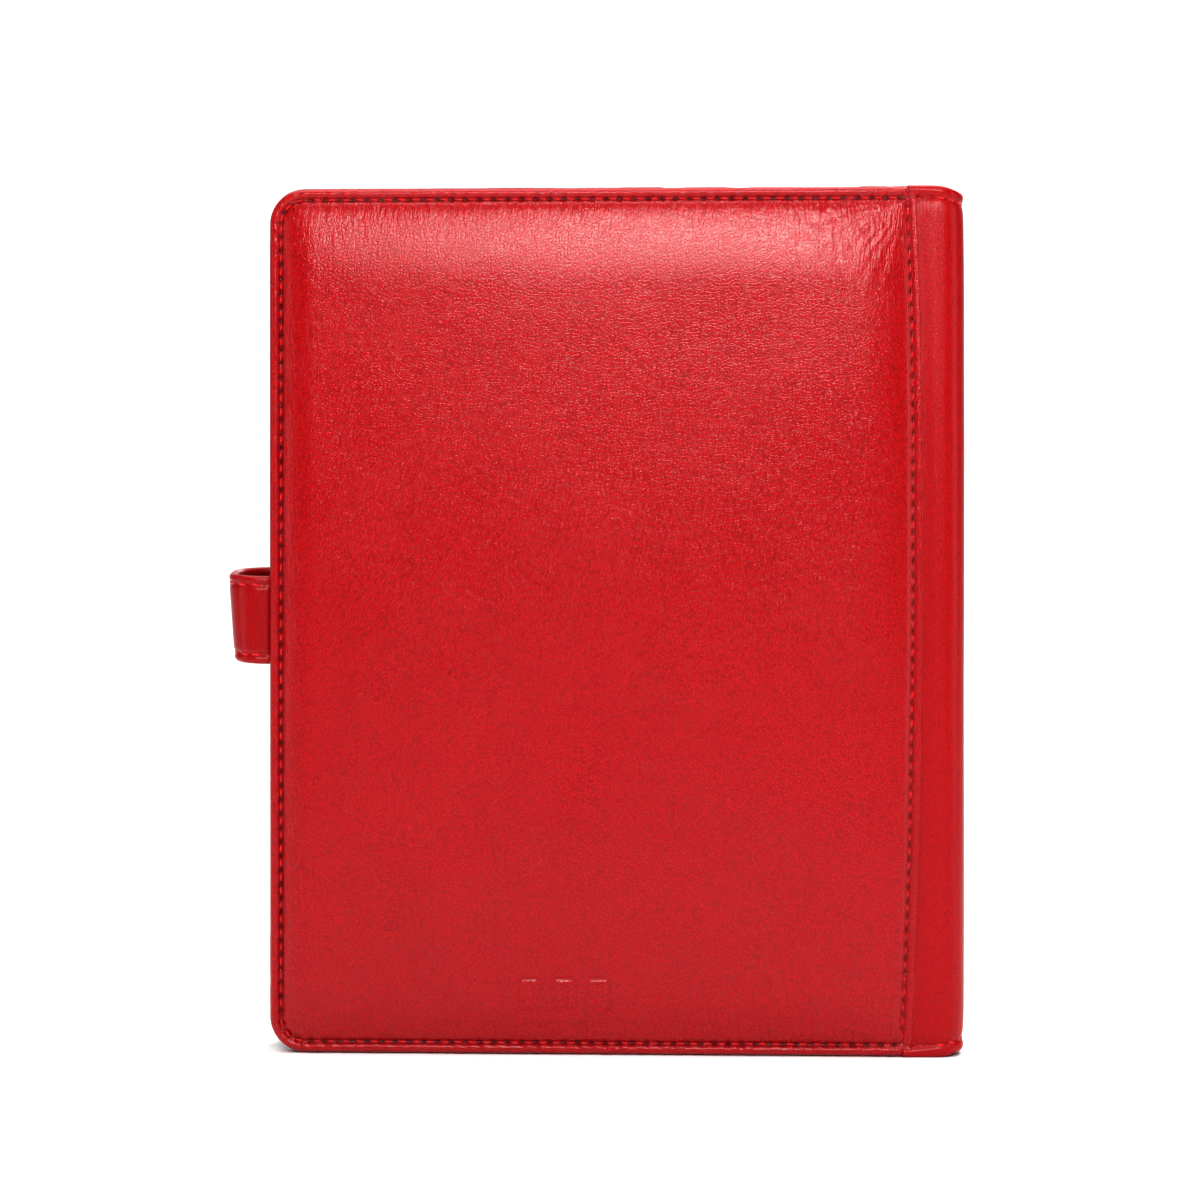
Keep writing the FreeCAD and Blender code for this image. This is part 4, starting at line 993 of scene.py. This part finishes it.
# ----------------------------------------------------------------------------
# snap button, turned about the front cover's outward normal
# ----------------------------------------------------------------------------
def lathe(name, profile, mat, seg=72, knurl=None):
    """profile: (radius, height above the front cover's face) from the axis out and back, mm."""
    cx, cz = -154.1, 109.5
    verts = []
    for r, h in profile:
        for s in range(seg):
            a = 2 * math.pi * s / seg
            verts.append(to_row(np.array(cx + r * math.cos(a)), np.array(-h), np.array(cz + r * math.sin(a)), 1))
    n = len(profile)
    faces = grid_faces(n, seg, wrap_v=True).tolist()
    faces.append(list(range(seg))[::-1])
    faces.append([(n - 1) * seg + j for j in range(seg)])
    return outward(make_mesh(name, verts, faces, mats=[mat]))


def fillet_profile(pts, r=0.18, n=4):
    """Round the corners of an open profile."""
    out = [pts[0]]
    for a, b, c in zip(pts, pts[1:], pts[2:]):
        a, b, c = (np.array(v, float) for v in (a, b, c))
        u, v = a - b, c - b
        lu, lv = np.linalg.norm(u), np.linalg.norm(v)
        rr = min(r, lu * 0.45, lv * 0.45)
        p0, p1 = b + u / lu * rr, b + v / lv * rr
        for k in range(n + 1):
            t = k / n
            out.append(tuple((1 - t) ** 2 * p0 + 2 * t * (1 - t) * b + t * t * p1))
    out.append(pts[-1])
    return out


dome = [(0.02, 6.62), (1.4, 6.58), (2.8, 6.42), (3.9, 6.16)]
cap = lathe("snap_cap_dome", fillet_profile(dome + [(4.25, 5.98), (4.6, 6.02), (5.35, 5.72), (5.5, 5.35), (5.35, 5.22), (1.7, 5.22), (1.7, 3.4), (0.02, 3.4)], 0.16), M_METAL)
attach(cap, "strap_tip")
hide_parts("snap_cap")
sock = lathe("snap_socket_ring", fillet_profile([(3.2, 3.15), (3.2, 1.55), (3.05, 1.3), (3.2, 1.05), (4.3, 1.02), (4.6, 1.35), (4.9, 1.45), (5.0, 2.2), (5.0, 3.18), (3.2, 3.18)], 0.14), M_METAL)
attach(sock, "strap_tip")
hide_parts("snap_socket")
stud = lathe("snap_stud_turned", fillet_profile([(0.02, 2.45), (1.1, 2.45), (1.3, 2.62), (2.3, 2.66), (2.8, 2.2), (2.75, 1.7), (2.35, 1.1), (2.6, 0.8), (3.7, 0.72), (4.3, 0.80), (4.8, 0.62), (5.0, 0.25), (5.0, 0.02), (0.02, 0.02)], 0.14), M_METAL)
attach(stud, "front_cover")
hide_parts("snap_stud")


# ----------------------------------------------------------------------------
# pages: black backing with four clear pockets on each side
# ----------------------------------------------------------------------------
def rounded_slab(x0, x1, z0, z1, y0, y1, r, bev, n=5):
    """Closed slab with rounded corners and softened edges: vertices and faces, mm."""
    def outline(ins):
        rr = max(r - ins, 0.05)
        pts = []
        for cx, cz, a0 in ((x1 - ins - rr, z0 + ins + rr, -PI2), (x1 - ins - rr, z1 - ins - rr, 0),
                           (x0 + ins + rr, z1 - ins - rr, PI2), (x0 + ins + rr, z0 + ins + rr, math.pi)):
            for k in range(n + 1):
                a = a0 + PI2 * k / n
                pts.append((cx + rr * math.cos(a), cz + rr * math.sin(a)))
        return pts
    rings = [(bev, y0), (0.0, y0 + bev * 0.7), (0.0, y1 - bev * 0.7), (bev, y1)]
    v = []
    for ins, y in rings:
        v += [(x, y, z) for x, z in outline(ins)]
    m = 4 * (n + 1)
    f = grid_faces(len(rings), m, wrap_v=True).tolist()
    f.append(list(range(m))[::-1])
    f.append([(len(rings) - 1) * m + j for j in range(m)])
    return v, f


PW, PH = 144.5, 194.5


def page(k):
    steps = (k - 1) - 9.5
    y_root, y_edge = steps * 0.85, steps * 0.44
    lean = math.asin((y_root - y_edge) / PW)
    verts, faces, fm = [], [], []

    def put(v, f, mat):
        base = len(verts)
        verts.extend(v)
        for q in f:
            faces.append([base + i for i in q])
            fm.append(mat)

    put(*rounded_slab(-PW, 0.0, 0, PH, -0.07, 0.07, 3.0, 0.02), 0)
    for sgn in (1, -1):
        for col in (0, 1):
            for row in (0, 1):
                x1_ = -3.5 - col * 70.5
                x0_ = x1_ - 67.0
                z0_ = 3.5 + row * 95.5
                z1_ = z0_ + 92.0
                ya, yb = (0.072, 0.165) if sgn > 0 else (-0.165, -0.072)
                put(*rounded_slab(x0_, x1_, z0_, z1_, ya, yb, 1.6, 0.03), 1)
        # welds: fine raised ribs round and between the pockets
        for z in (1.7, 97.25, 192.8):
            ya, yb = (0.071, 0.115) if sgn > 0 else (-0.115, -0.071)
            put(*rounded_slab(-PW + 1.4, -1.4, z - 0.8, z + 0.8, ya, yb, 0.5, 0.02, n=2), 0)
        for x in (-142.7, -72.25):
            ya, yb = (0.071, 0.125) if sgn > 0 else (-0.125, -0.071)
            put(*rounded_slab(x - 0.8, x + 0.8, 3.2, 96.0, ya, yb, 0.5, 0.02, n=2), 0)
            put(*rounded_slab(x - 0.8, x + 0.8, 98.5, 191.3, ya, yb, 0.5, 0.02, n=2), 0)
    v = np.array(verts, float)
    c, s = math.cos(lean), math.sin(lean)
    x, y, z = v[:, 0], v[:, 1], v[:, 2]
    row = np.stack([77.0 + OX + x * c - y * s, y_root + OY + x * s + y * c, z + 10.25], -1)
    ob = make_mesh("pocket_page_%02d" % k, row, faces, smooth_shade=False, mats=[M_BACKING, M_FILM], face_mats=fm)
    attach(ob, "page_%02d" % k)
    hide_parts("page_%02d" % k)
    return ob


for k in range(1, 21):
    page(k)

# stitches through the page tabs
pl = []
z = 16.0
while z < 200:
    c = np.array([77.0 + 0.4 + 2.5 + OX, 9.5 * 0.85 + 0.25 + 0.30 + OY, z])
    pl.append((c, np.array([0, 0, 1.0]), np.array([0, 1.0, 0])))
    z += 5.0
bs = stitch_mesh("binding_stitches", pl, [M_THREAD], length=3.4, radius=0.32, drop=0.5, slant=0.03)
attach(bs, "back_cover")
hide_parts("binding_thread")

# ----------------------------------------------------------------------------
# CAD nodes that stay
# ----------------------------------------------------------------------------
FINISH = {
    "back_cover_board": M_BOARD, "front_cover_board": M_BOARD, "spine_board": M_BOARD,
    "back_cover_lining": M_LINING, "front_cover_lining": M_LINING, "spine_lining": M_LINING,
    "page_tabs": M_TAPE, "page_binding": M_TAPE, "snap_post": M_METAL,
}
for n, m in FINISH.items():
    ob = frame["nodes"][n]
    ob.data.materials.clear()
    ob.data.materials.append(m)

# ----------------------------------------------------------------------------
# floor, light, camera
# ----------------------------------------------------------------------------
def stage_material():
    m, nt, b = material("studio_floor_mat")
    vec = coords(nt)
    n1 = node(nt, "ShaderNodeTexNoise", Scale=3.0, Detail=3.0)
    nt.links.new(vec, n1.inputs["Vector"])
    col = ramp(nt, n1.outputs["Fac"], [(0.3, (0.86, 0.86, 0.86)), (0.7, (0.90, 0.90, 0.90))])
    nt.links.new(col.outputs[0], b.inputs["Base Color"])
    b.inputs["Roughness"].default_value = 0.75
    b.inputs["Specular IOR Level"].default_value = 0.2
    return m


prof = [(-4.0, 0.0), (1.2, 0.0)]
for k in range(1, 13):
    a = PI2 * k / 12
    prof.append((1.2 + 0.9 * math.sin(a), 0.9 - 0.9 * math.cos(a)))
prof.append((2.1, 4.0))
fv, ff = [], []
for x in (-5.0, 5.0):
    fv += [(x * 1000, y * 1000, z * 1000) for y, z in prof]
npf = len(prof)
for k in range(npf - 1):
    ff.append([k, npf + k, npf + k + 1, k + 1])
floor = make_mesh("studio_sweep", fv, ff, mats=[stage_material()])


def area(name, loc, target, size_x, size_y, power, col=(1, 1, 1)):
    li = bpy.data.lights.new(name, "AREA")
    li.shape = "RECTANGLE"
    li.size, li.size_y = size_x, size_y
    li.energy = power
    li.color = col
    ob = bpy.data.objects.new(name, li)
    scene.collection.objects.link(ob)
    ob.location = loc
    ob.rotation_euler = (Vector(target) - Vector(loc)).to_track_quat("-Z", "Y").to_euler()
    return ob


area("key_top", (0.03, -0.80, 0.50), (0.0, -0.02, 0.17), 0.46, 0.20, 6.8)
area("side_left", (-1.25, -0.45, 0.30), (0, 0, 0.09), 0.5, 0.9, 3.0)
area("side_right", (1.30, -0.45, 0.30), (0, 0, 0.09), 0.5, 0.9, 4.5)
area("overhead", (0.0, -0.30, 1.15), (0, 0, 0.1), 0.9, 0.12, 5.0)
area("rear_fill", (0.45, 1.0, 0.85), (0.0, 0.02, 0.12), 0.8, 0.5, 7.0)
area("back_wash", (0.0, 0.5, 2.4), (0, 1.7, 0.4), 2.5, 1.5, 50.0)
world = bpy.data.worlds.new("studio")
scene.world = world
world.use_nodes = True
wt = world.node_tree
bg = wt.nodes["Background"]
tc = wt.nodes.new("ShaderNodeTexCoord")
sep = wt.nodes.new("ShaderNodeSeparateXYZ")
wt.links.new(tc.outputs["Generated"], sep.inputs[0])
sky = ramp(wt, sep.outputs["Z"], [(0.05, (0.03, 0.03, 0.03)), (0.5, (0.28, 0.28, 0.28)), (1.0, (0.80, 0.80, 0.80))])
wt.links.new(sky.outputs[0], bg.inputs[0])
bg.inputs[1].default_value = 1.0
pale = wt.nodes.new("ShaderNodeBackground")
pale.inputs[0].default_value = (0.96, 0.96, 0.96, 1)
path = wt.nodes.new("ShaderNodeLightPath")
both = wt.nodes.new("ShaderNodeMixShader")
wt.links.new(path.outputs["Is Camera Ray"], both.inputs[0])
wt.links.new(bg.outputs[0], both.inputs[1])
wt.links.new(pale.outputs[0], both.inputs[2])
wt.links.new(both.outputs[0], wt.nodes["World Output"].inputs["Surface"])
scene.view_settings.view_transform = "Standard"
scene.view_settings.look = "None"
scene.view_settings.gamma = 0.70

cam = bpy.data.cameras.new("camera")
cam.lens = 85.0
cam.sensor_width = 36.0
cam.sensor_fit = "HORIZONTAL"
cam.shift_y = -70.0 / 1200.0
cam.clip_start = 0.05
cam.clip_end = 30.0
cam_ob = bpy.data.objects.new("camera", cam)
scene.collection.objects.link(cam_ob)
cam_ob.location = (0.00165, -0.7142, 0.1300)
cam_ob.rotation_euler = (math.pi / 2, 0, 0)
scene.camera = cam_ob
